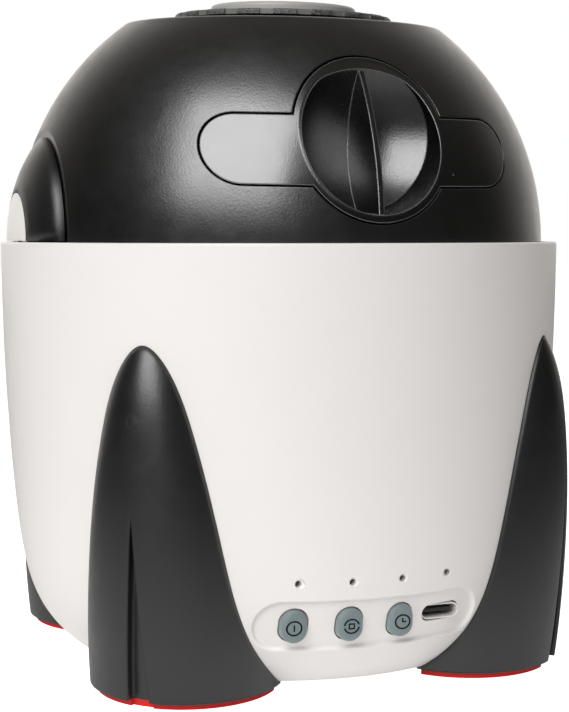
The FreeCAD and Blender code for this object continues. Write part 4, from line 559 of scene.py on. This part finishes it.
# ---- ears ----
# Black ABS covers close the tilt bearings at both sides.
# A cap in the cup's white plastic snaps into each one's middle.
POLISHED_IOR = 2.2                            # gives the smoothest black parts their strong highlights
ear_black = moulded("ear_black", ((0.0025, 0.0026, 0.003), (0.004, 0.0041, 0.0046)), (0.30, 0.36),
                    grain=2100.0, depth=0.014, edge=3.4, ior=POLISHED_IOR)
finish_in(ear_black, "ear_cover_left", "ear_cover_right")
finish_in(cup_white, "ear_cap_left", "ear_cap_right")


# ---- head shells ----
# The ball is two half shells in black ABS with a spark-eroded skin.
# They are screwed together below the drawer.
head_black = moulded("head_black", ((0.0022, 0.0022, 0.0022), (0.0036, 0.0035, 0.0034)), (0.27, 0.33),
                     grain=2100.0, depth=0.012, edge=0.5, ior=POLISHED_IOR)
finish_in(head_black, "dome_shell", "lower_shell")


# ---- tilt bearings ----
# Washers punched from sheet rubber lie under the pivot screws.
# They give the head its stiff, even tilt.
washer_rubber = moulded("washer_rubber", ((0.03, 0.03, 0.03), (0.045, 0.045, 0.045)), (0.6, 0.75),
                        grain=2600.0, depth=0.02)
finish_in(washer_rubber, "friction_washers")


# ---- lamp ----
# A white LED sits on an aluminium board and heat sink under the condenser, all inside the black housing.
# The condenser and the two lenses of the barrel are polished glass.
board_aluminium = metal_finish("board_aluminium", (0.76, 0.77, 0.78), (0.28, 0.45), (0.08, 1, 1), 1100.0)
finish_in(board_aluminium, "led_board", "heat_sink")
lens_glass = clear_finish("lens_glass", (0.95, 0.97, 0.98), 0.0, 1.52)
finish_in(lens_glass, "condenser_lens", "front_lens", "rear_lens")


# ---- disc drive ----
# A small motor in a drawn steel can turns the disc's carrier through a pinion.
# Pinion and carrier are moulded in natural nylon, with the carrier's teeth on its rim.
motor_steel = metal_finish("motor_steel", (0.66, 0.67, 0.68), (0.25, 0.4), (1, 1, 0.1), 800.0)
finish_in(motor_steel, "rotation_motor")
gear_nylon = moulded("gear_nylon", ((0.66, 0.65, 0.60), (0.71, 0.70, 0.66)), (0.38, 0.5),
                     grain=1800.0, depth=0.01)
finish_in(gear_nylon, "disc_carrier", "motor_pinion")


# ---- drawer ----
# The front with its grip bowl and fin is screwed to the tray; both are black ABS.
# The tab and the bowl's lip are smooth, and the bowl has a coarser skin. A little dust lies on it.
HEAD_TILT, TILT_Z = math.radians(3.2), 96.0 * MM
BOWL_Z, BOWL_RADIUS, BOWL_FADE = 24.5 * MM, 15.9 * MM, 0.3 * MM
BOWL_LEAN = 0.17                              # leans the bowl's normals up, so that it shines higher up
BOWL_ROUGHER, BOWL_DEEPER = 0.05, 2.0
DUST_CELLS, DUST_CHOSEN = 260.0, 0.62         # cells a metre; above this random value, one has a speck
SPECK_EDGE, SPECK_CORE = 0.035, 0.02          # radii, as shares of a cell


def head_level(tree, point):
    """Coordinates of the head before it is tipped forwards, with its tilt axis at zero."""
    level = add_node(tree, "Mapping", {"Vector": point, "Location": (0, 0, TILT_Z),
                                       "Rotation": (HEAD_TILT, 0, 0)}, vector_type="TEXTURE")
    return add_node(tree, "SeparateXYZ", {"Vector": level.outputs["Vector"]}).outputs


def disc_mask(tree, x, y, edge, core):
    """Mask round x = y = 0 that runs from 0 at the radius edge to 1 at the radius core."""
    across = add_node(tree, "CombineXYZ", {"X": x, "Y": y}).outputs["Vector"]
    return remap(tree, reckon_vector(tree, "LENGTH", across), edge, core)


def dust_mask(tree, point):
    """A few fine specks, at most one in each cell."""
    cells = add_node(tree, "TexVoronoi", {"Vector": point, "Scale": DUST_CELLS}).outputs
    chosen = reckon(tree, "GREATER_THAN", cells["Color"], DUST_CHOSEN)
    return reckon(tree, "MULTIPLY", remap(tree, cells["Distance"], SPECK_EDGE, SPECK_CORE), chosen)


def drawer_finish():
    """Satin black, with a rougher skin inside the grip bowl and painted shade darkening it, and pale painted
    highlights along the edges.
    """
    material, tree, shader, point = new_finish("drawer_black")
    level = head_level(tree, point)
    up = reckon(tree, "SUBTRACT", level["Z"], BOWL_Z)
    bowl = disc_mask(tree, level["X"], up, BOWL_RADIUS + BOWL_FADE, BOWL_RADIUS)
    skin = place_group(tree, mould_skin, {"Point": point, "Grain": 3200.0})
    rim = place_group(tree, soft_edge, {"Radius": 0.4 * MM})
    wear = place_group(tree, uneven, {"Point": point, "Spread": MOULDING_SPREAD})
    colour = blend_tone(tree, wear["Drift"], (0.0022, 0.0022, 0.0022), (0.0036, 0.0036, 0.0036))
    # painted shade: the inside of the grip bowl is coloured darker
    colour = blend_tone(tree, bowl, colour, (0.0006, 0.0006, 0.0006))
    # painted highlight: the edges are paled where they would catch the light
    colour = blend_tone(tree, rim["Edge"], colour, (0.20, 0.20, 0.202))
    colour = blend_tone(tree, dust_mask(tree, point), colour, (0.5, 0.5, 0.5))
    satin = over_noise(tree, wear["Smear"], (0.19, 0.25))
    deeper = reckon(tree, "MULTIPLY_ADD", bowl, BOWL_DEEPER, 1.0)
    height = reckon(tree, "MULTIPLY", skin["Height"], deeper)
    bumped = relief(tree, height, 0.006, {"Normal": rim["Normal"]})
    lean = reckon_vector(tree, "MULTIPLY", (0, 0, BOWL_LEAN), bowl)
    leant = reckon_vector(tree, "ADD", bumped, lean)
    set_inputs(tree, shader, {"Base Color": colour, "IOR": POLISHED_IOR,
                              "Roughness": reckon(tree, "MULTIPLY_ADD", bowl, BOWL_ROUGHER, satin),
                              "Normal": reckon_vector(tree, "NORMALIZE", leant)})
    return material


finish_in(drawer_finish(), "drawer_front", "disc_tray")


# ---- star disc ----
# The disc is a dark photographic film between two clear plates.
# The stars are left clear in the film, and a pale haze drifts over it.
STAR_CELLS = ((420.0, 0.09), (900.0, 0.10), (1500.0, 0.14))     # cells a metre, a star's radius in cells
HAZE_START, HAZE_FULL, HAZE_SHARE = 0.55, 0.9, 0.35


def star_finish():
    """Dark film with clear points of several sizes, and a pale haze in places."""
    material, tree, shader, point = new_finish("star_film")
    part = add_node(tree, "SeparateXYZ", {"Vector": point}).outputs
    flat = add_node(tree, "CombineXYZ", {"X": part["X"], "Y": part["Y"]}).outputs["Vector"]
    noise = add_node(tree, "TexNoise", {"Vector": flat, "Scale": 90.0, "Detail": 6.0}).outputs["Fac"]
    colour = (0.008, 0.009, 0.018)
    for cells, size in STAR_CELLS:
        stars = add_node(tree, "TexVoronoi", {"Vector": flat, "Scale": cells}).outputs["Distance"]
        colour = blend_tone(tree, remap(tree, stars, size, size / 2), colour, (0.9, 0.93, 1.0))
    haze = remap(tree, noise, HAZE_START, HAZE_FULL, 0.0, HAZE_SHARE)
    set_inputs(tree, shader, {"Base Color": blend_tone(tree, haze, colour, (0.3, 0.33, 0.42)),
                              "Roughness": 0.12, "Coat Weight": 0.5})
    return material


finish_in(star_finish(), "star_disc")


# ---- focus ring and lens bezel ----
# The focus ring is moulded in dark grey ABS. It turns round the lens tube and lifts the barrel.
# A bezel in a paler grey plastic holds the front lens.
NOTCH_FLOOR, GRIP_FOOT = 24.95 * MM, 25.1 * MM      # radii of the smooth notches and of the grained grips


def ring_finish():
    """Dark grained grips round the ring with painted glints on their bumps, and smooth paler notches between
    them.
    """
    material, tree, shader, point = new_finish("ring_dark")
    level = head_level(tree, point)
    grip = disc_mask(tree, level["X"], level["Y"], NOTCH_FLOOR, GRIP_FOOT)
    skin = place_group(tree, mould_skin, {"Point": point, "Grain": 2600.0})
    rim = place_group(tree, soft_edge, {"Radius": 0.25 * MM})
    wear = place_group(tree, uneven, {"Point": point, "Spread": 60.0})
    smooth_tone = blend_tone(tree, wear["Drift"], (0.16, 0.165, 0.16), (0.20, 0.205, 0.20))
    # painted highlight: the tops of the grips' bumps are paled as glints
    grip_painted_glint_tone = blend_tone(tree, skin["Glint"], (0.03, 0.031, 0.031), (0.20, 0.204, 0.202))
    height = reckon(tree, "MULTIPLY", skin["Height"], grip)
    set_inputs(tree, shader, {"Base Color": blend_tone(tree, grip, smooth_tone, grip_painted_glint_tone), "IOR": 1.6,
                              "Roughness": over_noise(tree, wear["Smear"], (0.4, 0.5)),
                              "Normal": relief(tree, height, 0.03, {"Normal": rim["Normal"]})})
    return material


finish_in(ring_finish(), "focus_ring")
# its edges get a painted highlight, a paler tone along them
bezel_grey = moulded("bezel_grey", ((0.40, 0.395, 0.38), (0.44, 0.435, 0.42)), (0.36, 0.46),
                     grain=2300.0, depth=0.012, painted_edge_highlight=(0.45, 0.44, 0.43))
finish_in(bezel_grey, "lens_bezel")


# ---- close ----
# The view layer is brought up to date.
bpy.context.view_layer.update()
